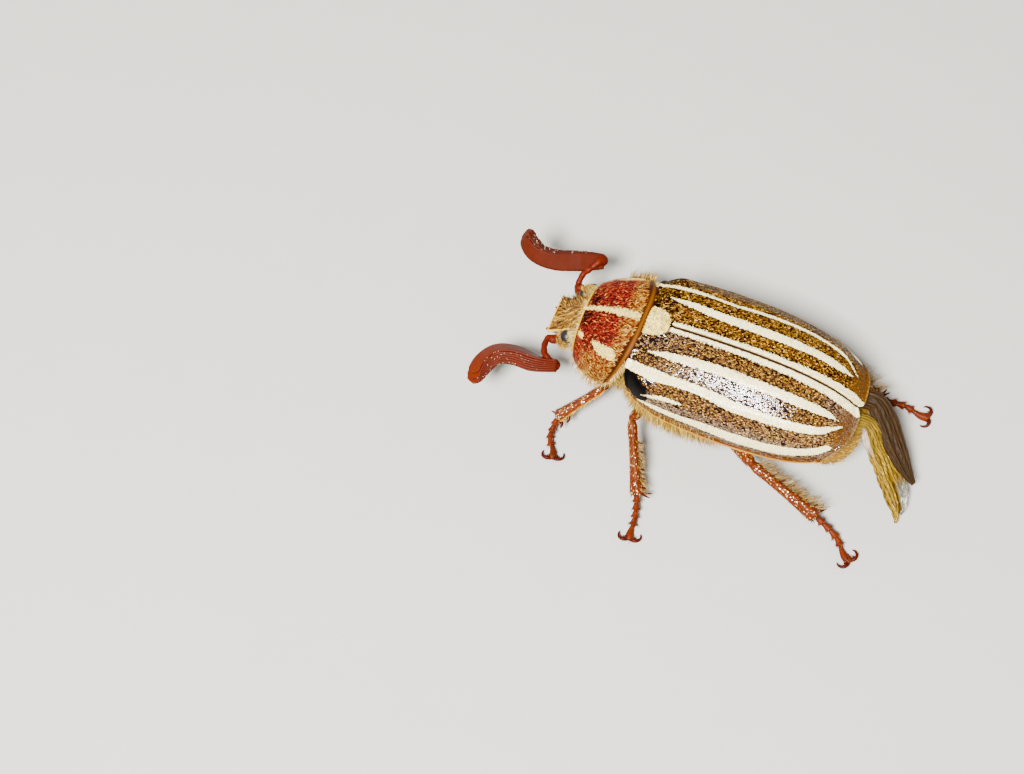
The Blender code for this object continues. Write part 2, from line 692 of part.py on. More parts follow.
def build_leg(name):
    """A leg: thigh with its root, shin with spines and spurs, and a foot with two claws."""
    pair, side = name.split("_")
    root, knee, ankle, tip = (np.array(point, dtype=float) for point in LEGS[name])
    thigh = tube(*thigh_line(root, knee, FEMUR_RADIUS[pair]), resolution=3)
    make_object("femur_" + name, thigh, "leg")

    along = (ankle - knee) / np.linalg.norm(ankle - knee)
    start = knee + along * joint_reach("knee", knee - root, ankle - knee)
    end = ankle - along * 0.1
    radius = TIBIA_RADIUS[pair]
    line = [start + (end - start) * share for share in SHIN_SHARES]
    shin = tube(line, [radius * swell for swell in SHIN_SWELLS])
    outward = np.cross(along, (0.0, 0.0, 1.0))
    outward /= np.linalg.norm(outward)
    if outward[1] < 0:
        outward = -outward
    shin = combine(shin, shin_spines(pair, start, end, outward, radius), "UNION")
    make_object("tibia_" + name, shin, "leg")
    make_object("tarsus_" + name, build_foot(ankle, along, tip, FOOT_BOW[name]), "leg")


def shin_spines(pair, start, end, outward, radius):
    """Teeth of a fore shin, or the spines and end spurs of the others."""
    along = (end - start) / np.linalg.norm(end - start)
    up = np.cross(outward, along)
    spines = []
    if pair == "fore":
        for share, reach in ((0.72, 0.55), (0.92, 0.65)):
            base = start + (end - start) * share
            spines.append(spike(base, base + outward * (radius + reach) + along * 0.3, 0.28))
    else:
        for share in (0.35, 0.62):
            base = start + (end - start) * share
            spines.append(spike(base, base + outward * (radius + 0.42) + along * 0.3, 0.17, 5))
        for way in (-1.0, 1.0):
            base = end - along * 0.25 + up * way * radius * 0.6
            spines.append(spike(base, base + along * 0.75 - outward * 0.6 + up * way * 0.55, 0.17, 5))
    return spines


def build_foot(ankle, shin_along, tip, bow):
    """Five joints from the shin's end to the floor, and two claws."""
    ahead = (tip - ankle) / np.linalg.norm(tip - ankle)
    start = ankle + ahead * joint_reach("ankle", shin_along, ahead)
    flat = tip - start
    middle = start + np.array((flat[0] * 0.5 + bow[0], flat[1] * 0.5 + bow[1], flat[2] * 0.72))
    low = start + np.array((flat[0] * 0.82, flat[1] * 0.82, flat[2] * 0.99))
    points = route((start, middle, low, tip), 3 * FOOT_JOINTS + 1)
    radii = []
    for k in range(3 * FOOT_JOINTS + 1):
        radii.append(FOOT_RADIUS * FOOT_SWELLS[k % len(FOOT_SWELLS)])
    foot = above_floor(tube(points, radii, resolution=2))
    along = points[-1] - points[-3]
    along[2] = 0.0
    along /= np.linalg.norm(along)
    across = np.cross((0.0, 0.0, 1.0), along)
    root = points[-1] - along * 0.15
    claws = []
    for way in (-1.0, 1.0):
        claw = []
        for share, out, rise in CLAW_BEND:
            hook = along * CLAW_LENGTH * share + across * way * CLAW_LENGTH * out
            claw.append(root + hook + np.array((0.0, 0.0, rise)))
        claws.append(tube(claw, [CLAW_RADIUS * taper for taper in CLAW_TAPERS], resolution=1))
    return above_floor(combine(foot, claws, "UNION"))


clear_scene()
BEETLE = bpy.data.collections.new("ten_lined_june_beetle")
bpy.context.scene.collection.children.link(BEETLE)
MATERIALS = {name: make_material(name, *look) for name, look in LOOKS.items()}

build_head()
build_pronotum()
build_prothorax()
build_scutellum()
build_thorax()
build_abdomen()
for body_side in ("left", "right"):
    build_wing_case(body_side)
build_wings()
build_feelers()
for leg_name in LEGS:
    build_leg(leg_name)
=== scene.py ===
"""Looks of a life-size ten-lined june beetle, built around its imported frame.

Sizes are millimetres in the beetle's own frame until a mesh is made: y = 0 at the base of the
wing cases, the head towards -Y, the beetle's left side at +X, and the floor at z = 0. Colours
are written as they look on a screen, from 0 to 255.
"""

import math

import bpy
import numpy as np
from mathutils import Matrix, Vector


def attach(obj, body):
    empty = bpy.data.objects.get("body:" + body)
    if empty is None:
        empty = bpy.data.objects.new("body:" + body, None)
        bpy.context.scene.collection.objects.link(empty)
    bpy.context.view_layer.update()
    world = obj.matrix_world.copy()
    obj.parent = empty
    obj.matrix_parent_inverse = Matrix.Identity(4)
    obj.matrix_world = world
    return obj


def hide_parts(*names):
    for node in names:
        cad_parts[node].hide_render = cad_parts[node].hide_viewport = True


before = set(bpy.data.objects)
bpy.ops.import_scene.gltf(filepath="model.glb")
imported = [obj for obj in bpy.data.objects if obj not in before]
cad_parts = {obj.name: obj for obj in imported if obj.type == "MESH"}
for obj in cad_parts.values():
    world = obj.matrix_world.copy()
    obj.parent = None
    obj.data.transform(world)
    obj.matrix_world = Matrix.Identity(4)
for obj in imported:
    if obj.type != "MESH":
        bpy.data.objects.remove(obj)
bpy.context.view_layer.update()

MM = 0.001
CENTRE = np.array((3.95, 6.29, 0.0))
TINY = 1e-9
UPWARD = (0.0, 0.0, 1.0)
FULL_TURN = 2 * math.pi
SIDES = {"left": 1.0, "right": -1.0}

# Scattered places: steps of an even sequence, and the last shares that still lie inside a grid.
SPREAD_STEPS = (0.7548776662, 0.5698402910)
SPREAD_END = 0.9999
SHARE_END = 0.99999

# Meshes: how far a ball reaches to its poles, how much darker a plate's inner face is painted (painted
# shade on its underside), and how wide the patch of a scale or hair on the bake is.
BALL_REACH = 0.985
INNER_PAINTED_SHADE = 0.4
BAKE_PATCH = 0.003

# Scales and hairs: how much darker the root is painted (painted shade where it meets the skin), the
# range of the random factor on each size, the faces over one element's points, and where these points
# lie in its patch on the bake. SCALE_SUNK is the depth of a scale's root. HAIR_TILTS are the least and
# the greatest tilt of a hair, and HAIR_LAYERS the share of the length and the thickness of its two rings.
SCALE_ROOT_PAINTED_SHADE = 0.45
SCALE_SUNK = 0.012
SCALE_LENGTHS = (0.75, 1.2)
SCALE_WIDTHS = (0.38, 0.6)
SCALE_LIFTS = (0.4, 1.3)
SCALE_FACES = ((0, 2, 4), (2, 3, 4), (3, 1, 4), (1, 0, 4), (0, 1, 2), (1, 3, 2))
SCALE_BAKE = ((0, -1), (-1, 0), (1, 0), (0, 1), (0, 0))
HAIR_ROOT_PAINTED_SHADE = 0.55
HAIR_LENGTHS = (0.6, 1.25)
HAIR_WIDTHS = (0.7, 1.2)
HAIR_TILTS = (0.05, 1.5)
HAIR_LAYERS = ((-0.06, 1.0), (0.5, 0.75))
HAIR_TRIANGLES = ((3, 4, 6), (4, 5, 6), (5, 3, 6), (0, 2, 1))
HAIR_QUADS = ((0, 1, 4, 3), (1, 2, 5, 4), (2, 0, 3, 5))
HAIR_BAKE = ((-1, -1), (1, -1), (0, -1), (-1, 0), (1, 0), (0, 0), (0, 1))

# Lengthwise profiles of the body, as (y, value) pairs.
CREST = (
    (-0.3, 10.95), (2.4, 11.35), (6.0, 11.6), (10.0, 11.6),
    (14.0, 11.1), (17.0, 10.1), (19.0, 8.8), (20.6, 7.3),
)
HALF_WIDTH = (
    (-0.3, 5.35), (1.2, 6.15), (3.5, 6.7), (7.0, 6.85),
    (11.0, 6.75), (15.0, 6.25), (17.8, 5.4), (20.6, 4.0),
)
RIM = (
    (-0.3, 7.5), (1.5, 6.7), (4.0, 6.2), (8.0, 5.8),
    (12.0, 5.6), (15.0, 5.4), (17.5, 5.5), (20.6, 6.1),
)
BODY_SQUARE = 2.55

# Wing cases.
CASE_THICK = 0.3
CASE_SEAM = 0.05
SEAM_BARE = 0.55
CASE_BASE = 0.08
CASE_APEX = 20.35
APEX_CUT = 2.1
APEX_CORNER = 0.55
APEX_CORNER_TURN = 9.0
SHOULDER_REACH = 0.5
EPIPLEURON_IN = 0.30
EPIPLEURON_DROP = 0.45
NOTCH_HALF = 1.5
NOTCH_BACK = 2.2
CASE_SEEDS = {"left": 11, "right": 12}
# Ribs as (turn, height), and humps as (height, turn, breadth in degrees, y, length).
CASE_RIBS = ((17.0, 0.05), (41.0, 0.08), (62.0, 0.05))
CASE_HUMPS = ((0.32, 56.0, 14.0, 1.4, 1.1), (0.12, 36.0, 10.0, 17.4, 1.0))
# The bare black patch of the shoulder, and where the plain russet of the end and the margin sets in.
SHOULDER_TURN = 68.0
SHOULDER_Y = 0.75
SHOULDER_HALF_TURN = 17.0
SHOULDER_HALF_LENGTH = 1.55
RUSSET_APEX = (18.2, 19.4)
RUSSET_MARGIN = (80.5, 84.5)

# Cream stripes of a wing case: inner and outer edge, as (y, turn) pairs, turn being
# 0 degrees at the seam and 90 at the rim.
STRIPES = (
    (((2.3, -5.0), (20.35, -5.0)),
     ((2.3, 2.4), (5.0, 2.3), (10.0, 3.0), (14.0, 3.6), (17.0, 4.8), (19.0, 6.6), (20.0, 6.8),
      (20.35, 4.5))),
    (((1.1, 22.0), (2.3, 17.5), (4.0, 15.0), (6.0, 13.2), (9.0, 13.0), (12.0, 13.5),
      (15.6, 14.4), (17.3, 15.4), (18.6, 20.0)),
     ((1.1, 22.4), (3.2, 21.6), (5.0, 20.7), (7.5, 20.2), (11.0, 21.0), (14.0, 21.3),
      (16.4, 22.2), (17.8, 21.6), (18.6, 20.4))),
    (((-0.8, 43.0), (0.0, 40.0), (0.7, 37.0), (2.3, 34.2), (4.0, 33.6), (6.5, 33.3),
      (8.1, 34.2), (9.8, 36.0), (12.3, 37.2), (14.0, 37.0), (15.6, 36.0), (17.0, 34.0),
      (18.1, 29.7), (19.1, 24.3)),
     ((-0.8, 56.0), (0.0, 53.0), (0.7, 48.6), (2.3, 46.0), (4.0, 42.4), (5.6, 41.2),
      (7.3, 42.4), (9.0, 45.4), (11.0, 46.3), (14.0, 46.2), (15.6, 45.0), (16.8, 43.0),
      (17.8, 38.7), (19.1, 26.0))),
    (((1.7, 68.8), (2.8, 60.8), (3.65, 57.4), (4.5, 56.2), (5.5, 56.8)),
     ((1.7, 69.4), (2.8, 65.0), (3.65, 61.6), (4.5, 59.9), (5.5, 58.0))),
    (((1.4, 82.0), (2.65, 74.7), (4.0, 72.4), (5.6, 71.5), (7.3, 69.4), (9.0, 68.8),
      (13.1, 68.8), (14.8, 67.0), (16.3, 64.8), (17.6, 60.3), (18.4, 54.5), (18.9, 57.0)),
     ((1.4, 83.6), (2.3, 81.0), (4.0, 79.2), (7.3, 79.2), (9.0, 80.1), (11.4, 81.4),
      (14.0, 80.5), (15.6, 78.8), (16.8, 75.6), (17.9, 72.0), (18.9, 60.0))),
)
# The right case's stripes: how far they draw in towards the seam, the share of its width that the
# third keeps, and the turn added to the fourth.
RIGHT_SHIFT = 0.12
RIGHT_NARROW = 0.42
RIGHT_TURN = 8.0

# Scutellum.
SCUTELLUM_HALF = 1.3
SCUTELLUM_START = -0.05
SCUTELLUM_LENGTH = 2.14
SCUTELLUM_SEED = 21

# Pronotum.
SHIELD_CREST = ((-6.3, 8.65), (-5.0, 9.65), (-3.0, 10.6), (-1.2, 11.0), (-0.1, 11.05))
SHIELD_HALF = ((-6.4, 2.8), (-5.8, 3.8), (-4.6, 4.75), (-3.0, 5.3), (-1.8, 5.2), (-0.1, 4.6))
SHIELD_RIM = ((-6.9, 6.5), (-5.0, 5.9), (-3.0, 5.9), (-1.6, 6.9), (-0.1, 8.3))
SHIELD_SQUARE = 2.15
SHIELD_FRONT = -6.25
SHIELD_BACK = -0.04
SHIELD_FRONT_CORNER = -6.15
SHIELD_BACK_CORNER = -1.7
SHIELD_THICK = 0.4
SHIELD_SEED = 31
# Cream marks, by share of the length: the middle line's half width, and a comma's two edges.
MEDIAN_HALF = ((0.0, 0.020), (0.2, 0.025), (0.45, 0.027), (0.6, 0.038), (0.85, 0.034))
FAR_COMMA_SHIFT = 0.2
COMMA = (
    ((0.34, 0.39), (0.40, 0.385), (0.50, 0.395), (0.60, 0.405), (0.70, 0.44), (0.80, 0.53)),
    ((0.34, 0.43), (0.40, 0.47), (0.50, 0.52), (0.60, 0.55), (0.70, 0.575), (0.80, 0.60)),
)
# The bare hind band: where it starts, and how much further forward it starts at the sides.
BAND_START = 0.89
BAND_BEND = 0.04
# Fringes of the edges: number of hairs, length and rise.
SHIELD_FRINGES = (
    ("side", 300, 0.8, 0.5), ("front", 220, 0.5, 0.5), ("back", 420, 0.7, 0.5), ("far", 360, 1.4, 0.95),
)

# Underside of the body.
BODY_HALF = (
    (-5.6, 2.8), (-4.4, 3.6), (-3.0, 4.15), (-1.8, 4.3), (-0.9, 4.4), (0.0, 4.7), (1.2, 5.6),
    (3.5, 6.25), (7.0, 6.3), (9.0, 6.0), (11.0, 5.6), (15.0, 5.05), (17.0, 4.75), (18.2, 4.95),
    (19.2, 4.8), (20.0, 4.2), (20.6, 3.35), (21.05, 1.9),
)
BODY_TOP = (
    (-5.6, 7.9), (-4.4, 8.7), (-3.0, 9.3), (-0.45, 8.8), (1.2, 9.9), (4.0, 10.4), (8.7, 10.4),
    (9.6, 9.3), (14.0, 8.8), (17.0, 7.7), (19.0, 6.5), (20.2, 5.7), (21.05, 5.15),
)
BODY_WAIST = (
    (-5.6, 6.0), (-3.0, 5.7), (-1.6, 6.4), (0.0, 6.4), (1.5, 5.4), (3.0, 4.8), (8.0, 4.8),
    (10.0, 5.1), (12.0, 5.3), (15.0, 5.3), (19.6, 5.05), (21.05, 4.9),
)
BELLY = (
    (-5.6, 4.6), (-4.0, 3.3), (-2.0, 2.9), (-0.45, 3.4), (0.5, 2.8), (3.0, 2.6),
    (9.0, 2.6), (13.0, 3.0), (16.5, 3.6), (21.05, 4.7),
)
RINGS = (9.4, 11.3, 13.0, 14.7, 16.3, 17.9, 19.3)
UNDER_SQUARE = 2.4
BODY_SEED = 51

# Legs: start in the body, knee, ankle and tip of the last foot joint.
LEGS = {
    "fore_left": ((1.7, -3.2, 3.1), (4.9, -2.2, 4.3), (8.4, -5.75, 1.5), (12.1, -4.8, 0.27)),
    "fore_right": ((-1.7, -3.2, 3.1), (-6.4, -3.2, 4.9), (-6.5, -4.9, 1.3), (-5.3, -8.0, 0.27)),
    "mid_left": ((2.2, 2.6, 2.7), (7.0, 1.25, 4.4), (12.8, 4.05, 1.4), (16.8, 4.8, 0.27)),
    "mid_right": ((-2.2, 2.6, 2.7), (-7.1, 0.6, 4.5), (-8.3, 5.9, 1.3), (-8.2, 9.9, 0.27)),
    "hind_left": ((2.3, 7.2, 2.6), (6.9, 12.8, 3.9), (8.7, 19.85, 1.5), (11.25, 24.05, 0.27)),
    "hind_right": ((-2.3, 7.2, 2.6), (-6.8, 14.2, 4.0), (-4.4, 21.7, 1.4), (-4.8, 26.6, 0.27)),
}
FOOT_BOW = {
    "fore_left": (-0.05, -0.5), "fore_right": (0.0, 0.0), "mid_left": (0.0, 0.15),
    "mid_right": (0.0, 0.0), "hind_left": (-0.35, 0.25), "hind_right": (-0.4, 0.05),
}
FEMUR_RADIUS = {"fore": 0.72, "mid": 0.70, "hind": 0.86}
TIBIA_RADIUS = {"fore": 0.54, "mid": 0.52, "hind": 0.58}
THIGH_SWELL = (
    (0.0, 0.45), (0.06, 0.75), (0.2, 0.95), (0.42, 1.0), (0.65, 0.9), (0.85, 0.72), (0.96, 0.6),
    (1.0, 0.5),
)
SHIN_SWELL = (
    (0.0, 0.55), (0.07, 0.82), (0.3, 0.8), (0.6, 0.92), (0.85, 1.1), (0.96, 1.2), (1.0, 1.0),
)
THIGH_RINGS = 30
SHIN_RINGS = 34
LEG_SEED = 61
# Shins: teeth of the fore pair as (share of the length, reach), the places of the spine rows and the
# number of end spines of the others, and each pair's spurs as (outward, ahead, up).
FORE_TEETH = ((0.82, 0.5), (0.98, 0.62))
SPINE_ROWS = (0.28, 0.4, 0.52, 0.64, 0.76, 0.88)
END_SPINES = 9
HIND_SPURS = ((1.2, 0.3, 0.25), (0.95, 0.65, -0.1))
SPURS = {"fore": ((-0.6, 0.6, 0.0),), "mid": HIND_SPURS, "hind": HIND_SPURS}
FOOT_RADIUS = 0.34
FOOT_FLAT = 0.015
FOOT_HAIRS = 22
# Rings where the joints of a foot meet.
FOOT_CUTS = (0, 10, 20, 30, 40, 60)
FOOT_SWELL = ((0.0, 0.45), (0.2, 0.68), (0.65, 0.92), (0.9, 1.15), (1.0, 0.85))
LAST_FOOT_SWELL = ((0.0, 0.5), (0.3, 0.8), (0.75, 1.2), (1.0, 1.0))
CLAW_LENGTH = 0.85
CLAW_BEND = (
    (0.0, 0.05, 0.02), (0.2, 0.6, 0.2), (0.02, 1.08, 0.14), (-0.4, 1.22, 0.04), (-0.72, 1.1, -0.02),
)
CLAW_RADII = (0.19, 0.19, 0.16, 0.11, 0.04)
CLAW_TOOTH = 0.38
# Fringe of each shin: hairs, their length, and the share of the shin where it starts and ends.
SHIN_FRINGE = {
    "fore": (30, 0.5, 0.2, 0.9), "mid": (120, 0.85, 0.25, 0.98), "hind": (170, 1.45, 0.06, 0.97),
}

# Head, as (y, (half width, top, waist, bottom)).
HEAD = (
    (-9.28, (2.05, 5.38, 5.18, 4.9)), (-8.75, (1.95, 5.8, 5.45, 4.65)),
    (-8.2, (1.86, 6.25, 5.7, 4.5)), (-7.6, (2.05, 6.75, 5.9, 4.4)),
    (-7.05, (2.42, 7.2, 6.2, 4.4)), (-6.45, (2.46, 7.8, 6.4, 4.6)),
    (-5.75, (2.3, 8.1, 6.2, 5.0)),
)
HEAD_SQUARE = 2.6
HEAD_SEED = 41
HEAD_SIDE_HAIRS = 420
HEAD_CROWN_HAIRS = 520
CHEEK_HAIRS = 260
EYE_RADIUS = 0.66
EYE_PLACE = (2.27, -7.05, 6.42)
# Ridge over the near eye from the front corner of the head, the cheek under it, and the flap by
# the far eye. Palps and jaws are mirrored.
EYE_RIDGE = (
    (2.08, -9.02, 5.5), (1.88, -8.35, 5.98), (1.8, -7.8, 6.32), (1.74, -7.1, 6.95), (1.98, -6.55, 7.02),
)
EYE_CHEEK = ((2.05, -8.1, 5.5), (2.6, -7.75, 5.6), (3.0, -7.25, 5.75), (2.95, -6.7, 6.0))
FAR_FLAP = ((-2.3, -7.3, 6.7), (-2.7, -7.1, 6.95), (-2.85, -6.8, 7.05), (-2.7, -6.4, 7.15))
PALP = ((0.8, -8.1, 4.8), (1.0, -8.6, 4.15), (1.15, -9.2, 3.85), (1.2, -9.8, 3.95))
JAW = ((1.3, -7.9, 4.6), (1.2, -8.7, 4.45), (0.5, -9.2, 4.5))
LIP = ((-1.2, -8.95, 4.85), (0.0, -9.15, 4.78), (1.2, -8.95, 4.85))

# Feelers: ends of the stalk's joints, and the stalk's radii along its length.
STALKS = {
    "left": (
        (2.4, -7.55, 5.35), (2.62, -8.8, 5.5), (3.4, -8.9, 5.55), (3.9, -8.78, 5.58),
        (4.32, -8.55, 5.6), (4.7, -8.02, 5.6), (5.08, -7.36, 5.6),
    ),
    "right": (
        (-2.5, -7.6, 5.4), (-3.15, -8.22, 5.6), (-3.85, -8.28, 5.9), (-4.5, -8.08, 6.3),
        (-4.95, -7.6, 6.75), (-5.55, -7.15, 7.05), (-6.1, -6.95, 6.9),
    ),
}
STALK_RADII = (0.36, 0.42, 0.38, 0.27, 0.31, 0.27, 0.31, 0.27, 0.32, 0.28, 0.33, 0.3, 0.4, 0.46)
SCAPE_BALLS = {"left": (2.64, -8.38, 5.45), "right": (-3.1, -7.98, 5.85)}
SCAPE_SIZE = (0.44, 0.56, 0.42)
CLUB_CAP = 0.58
CLUBS = {
    "left": (
        (5.15, -6.95, 5.6), (5.6, -9.0, 5.7), (5.6, -11.1, 5.8),
        (6.1, -12.7, 5.7), (7.6, -13.6, 5.5), (9.5, -13.65, 5.3),
    ),
    "right": (
        (-6.25, -6.8, 6.4), (-5.3, -9.05, 6.7), (-4.5, -11.0, 7.0),
        (-4.35, -12.7, 7.4), (-5.0, -13.8, 7.8), (-6.15, -14.2, 8.2),
    ),
}
# How far the stack of leaves leans at a club's base and at its tip, in degrees.
CLUB_LEAN = {"left": (22.0, 66.0), "right": (-60.0, -36.0)}
# How much darker each club is painted; the far club's darker colour is painted shade.
CLUB_PAINTED_SHADE = {"left": 0.95, "right": 0.62}
CLUB_RINGS = 60
CLUB_SEED = 71
# How far each leaf of a club reaches, as a share of the longest.
LEAF_REACHES = (0.93, 0.97, 1.0, 1.0, 0.985, 0.95, 0.9)
LEAF_SQUARE = 6.0
CLUB_STACK = 1.5
CLUB_HALF_BREADTH = 0.95
LEAF_THICK = 0.222
CLUB_HAIRS = 14

# Hind wings: centre line of each folded tip and its half width, None being a height under the case.
WINGS = {
    "left": (
        (1.5, 15.0, None, 1.05), (1.3, 17.5, None, 1.0), (1.05, 19.7, None, 0.85),
        (0.6, 21.25, 6.5, 0.85), (1.35, 22.5, 4.9, 1.0), (2.35, 23.9, 3.75, 1.15),
        (3.4, 25.2, 2.7, 1.25), (4.4, 26.2, 1.75, 1.15), (5.5, 26.75, 1.1, 0.7),
        (6.3, 26.9, 0.75, 0.3),
    ),
    "right": (
        (-1.5, 15.0, None, 1.05), (-1.4, 17.5, None, 1.0), (-1.4, 19.7, None, 0.9),
        (-1.6, 21.3, 6.9, 1.0), (-0.7, 22.7, 5.9, 1.15), (0.4, 23.95, 4.8, 1.1),
        (1.45, 25.15, 3.8, 0.9), (2.3, 26.2, 2.95, 0.55), (2.75, 27.0, 2.35, 0.2),
    ),
}
WING_THICK = 0.12
WING_UNDER = 0.95
# Shares of the length between which a tip comes out of its case, and which way it faces there.
WING_OUT = (0.36, 0.48)
WING_TWIST = (0.25, 0.35, 1.0)
WING_SLIT = 0.05
WING_SLIT_DEPTH = 1.3
WING_LOBE_SHORT = 1.1
WING_ROWS = 110
WING_COLUMNS = 81
WING_VEINS = (-0.92, -0.62, -0.3, 0.42, 0.8)
WING_PLEAT = {"left": 0.09, "right": 0.05}
WING_CREASE = {"left": 1.0, "right": 0.3}

# The camera's place, aim and roll, from the photograph.
CAMERA_AZIMUTH = 123.216
CAMERA_ELEVATION = 67.376
CAMERA_ROLL = -10.835
CAMERA_AIM = (0.0, 6.0, 7.0)
CAMERA_DISTANCE = 120.0
CAMERA_SLIDE = (17.981, 2.471)
CAMERA_LENS = 46.148
CAMERA_SENSOR = 36.0

# The key light: where it shines back to the camera from the near wing case, its distance, size
# and power.
HIGHLIGHT_TURN = 32.0
HIGHLIGHT_Y = 7.2
KEY_DISTANCE = 330.0
KEY_SIZE = 85.0
KEY_POWER = 5.2
# The other lights: place, aim, size, power and colour.
FILL_LIGHTS = {
    "front": ((-150.0, -260.0, 240.0), (0.0, 2.0, 5.0), 200.0, 0.45, (1.0, 0.98, 0.95)),
    "side": ((300.0, 60.0, 160.0), (0.0, 5.0, 5.0), 200.0, 0.12, (1.0, 0.96, 0.9)),
    "rim": ((-120.0, 280.0, 200.0), (0.0, 8.0, 5.0), 180.0, 0.15, (1.0, 1.0, 1.0)),
}
SURROUND_COLOUR = (0.98, 0.94, 0.87, 1.0)
SURROUND_STRENGTH = 0.28
FLOOR_HALF = 900.0

# Colours, and the power that turns them into a shader's values.
SCREEN_POWER = 2.5
CREAM = (255, 240, 172)
OCHRE = (134, 94, 26)
GOLD = (196, 148, 52)
UMBER = (82, 48, 16)
NIGHT = (28, 16, 9)
RUSSET = (94, 60, 17)
BURGUNDY = (76, 14, 7)
STRAW = (200, 162, 72)
CHESTNUT = (98, 46, 8)
CLAW_BROWN = (74, 26, 14)
BRICK = (100, 42, 20)
MARGIN_BROWN = (98, 52, 14)
RIM_GOLD = (200, 156, 62)
APEX_GOLD = (176, 140, 78)
SOOT = (8, 6, 6)
SEAM_BROWN = (66, 36, 12)
CREAM_GROUND = (184, 166, 118)
UNDER_MARGIN = (160, 116, 38)
SCUTELLUM_GROUND = (150, 122, 60)
SCUTELLUM_RIM = (72, 28, 9)
SHIELD_DARK = (34, 10, 8)
SHIELD_GOLDEN = (100, 48, 12)
SHIELD_EDGE = (206, 168, 58)
SHIELD_CREAM = (206, 180, 116)
BAND_DARK = (58, 28, 8)
# Painted highlight along the crest of the pronotum's hind band.
BAND_CREST_HIGHLIGHT = (112, 70, 20)
BAND_EDGE = (52, 18, 7)
HEAD_BROWN = (66, 38, 12)
HEAD_RIM = (210, 172, 60)
HEAD_UNDER = (110, 44, 16)
HEAD_PALE = (244, 226, 150)
RIDGE_GOLD = (214, 176, 70)
CHEEK_BROWN = (112, 76, 22)
PALP_TIP = (110, 36, 16)
JAW_BROWN = (56, 22, 12)
LIP_BROWN = (120, 50, 20)
EYE_DARK = (32, 29, 34)
PILE_GROUND = (122, 88, 28)
ABDOMEN_GROUND = (146, 104, 38)
TAIL_GROUND = (128, 96, 26)
GROOVE_BROWN = (84, 40, 16)
SHIN_EDGE = (204, 158, 62)
FOOT_BROWN = (98, 42, 10)
STALK_BROWN = (92, 32, 13)
LEAF_EDGE = (80, 30, 18)
WING_GILT = (160, 130, 28)
# Painted shade in the hollows of the near wing's crumples.
WING_GILT_CREASE_SHADE = (84, 62, 8)
WING_SILVER = (132, 130, 116)
WING_PALE = (222, 204, 186)
WING_DUSK = (58, 42, 11)
# Painted shade in the hollows of the far wing's crumples.
WING_DUSK_CREASE_SHADE = (34, 22, 6)
# The wing's own dark veins, also used as painted shade in the slit between the lobes.
WING_VEIN_AND_SLIT_SHADE = (84, 54, 12)
FLOOR_GREY = (192, 189, 182)

# Mixtures of scales and hairs, as (colour, weight) pairs.
MIXTURES = {
    "ochre": ((OCHRE, 5), (GOLD, 2.2), (UMBER, 3.4), ((112, 74, 22), 4), ((232, 196, 116), 0.5)),
    "cream": ((CREAM, 5), ((253, 242, 196), 4), ((224, 202, 136), 1.2)),
    "scutellum": (((255, 236, 144), 5), ((255, 228, 122), 4), ((206, 170, 80), 1.8)),
    "shield_red": (((150, 34, 10), 4), ((196, 84, 24), 2.2), ((88, 16, 8), 4), ((238, 170, 84), 0.9)),
    "shield_golden": (((182, 130, 34), 4), ((148, 90, 20), 3), ((238, 198, 94), 2)),
    "shield_cream": (((255, 236, 148), 5), ((255, 226, 118), 4), ((226, 186, 84), 1.8)),
    "shield_fringe": (((198, 152, 66), 4), ((140, 98, 36), 3), ((244, 222, 140), 2)),
    "head": (((176, 128, 38), 4), ((134, 90, 24), 3), ((228, 184, 84), 1.6), ((70, 42, 12), 2.4)),
    "head_side": ((STRAW, 4), ((196, 146, 62), 3), ((244, 220, 150), 2)),
    "head_crown": (((240, 222, 128), 3), ((206, 174, 76), 2)),
    "cheek": (((226, 196, 92), 3), ((170, 126, 38), 3), ((206, 168, 64), 2)),
    "pile": (((192, 152, 52), 5), ((156, 116, 36), 3.5), ((240, 208, 106), 2.5), ((110, 78, 24), 2)),
    "abdomen": ((STRAW, 4), ((216, 176, 76), 3), ((142, 100, 30), 3)),
    "foot": (((80, 30, 14), 3), ((160, 100, 44), 1)),
    "leg_flecks": (((240, 204, 130), 2), ((140, 66, 20), 3), ((40, 16, 7), 3)),
    "leg_hairs": ((STRAW, 4), ((190, 130, 60), 3), ((236, 206, 140), 2)),
    "shin_fringe": (((168, 138, 80), 4), ((132, 104, 58), 3), ((206, 172, 104), 2)),
    "club": (((250, 240, 214), 3), ((226, 190, 140), 2)),
}


def follow(stations, places):
    """Smooth values at places along (place, value) pairs, held flat past the ends."""
    xs = np.array([station[0] for station in stations], dtype=float)
    values = np.array([station[1] for station in stations], dtype=float)
    slopes = np.gradient(values, axis=0)
    spans = np.gradient(xs)
    slopes = slopes / (spans if values.ndim == 1 else spans[:, None])
    places = np.clip(np.asarray(places, dtype=float), xs[0], xs[-1])
    k = np.clip(np.searchsorted(xs, places, side="right") - 1, 0, len(xs) - 2)
    span = xs[k + 1] - xs[k]
    t = (places - xs[k]) / span
    if values.ndim > 1:
        span = span[..., None]
        t = t[..., None]
    start = (2 * t**3 - 3 * t**2 + 1) * values[k] + (t**3 - 2 * t**2 + t) * span * slopes[k]
    end = (3 * t**2 - 2 * t**3) * values[k + 1] + (t**3 - t**2) * span * slopes[k + 1]
    return start + end


def route(points, count):
    """Evenly spaced points on a smooth curve through the given points."""
    points = np.array(points, dtype=float)
    lengths = np.concatenate(([0.0], np.cumsum(np.linalg.norm(np.diff(points, axis=0), axis=1))))
    return follow(tuple(zip(lengths, points)), np.linspace(0.0, lengths[-1], count))


def straight(start, end, count):
    """Evenly spaced points from one place to another."""
    return start + (end - start) * np.linspace(0.0, 1.0, count)[:, None]


def unit(vectors):
    """Vectors scaled to length one."""
    return vectors / np.maximum(np.linalg.norm(vectors, axis=-1, keepdims=True), TINY)


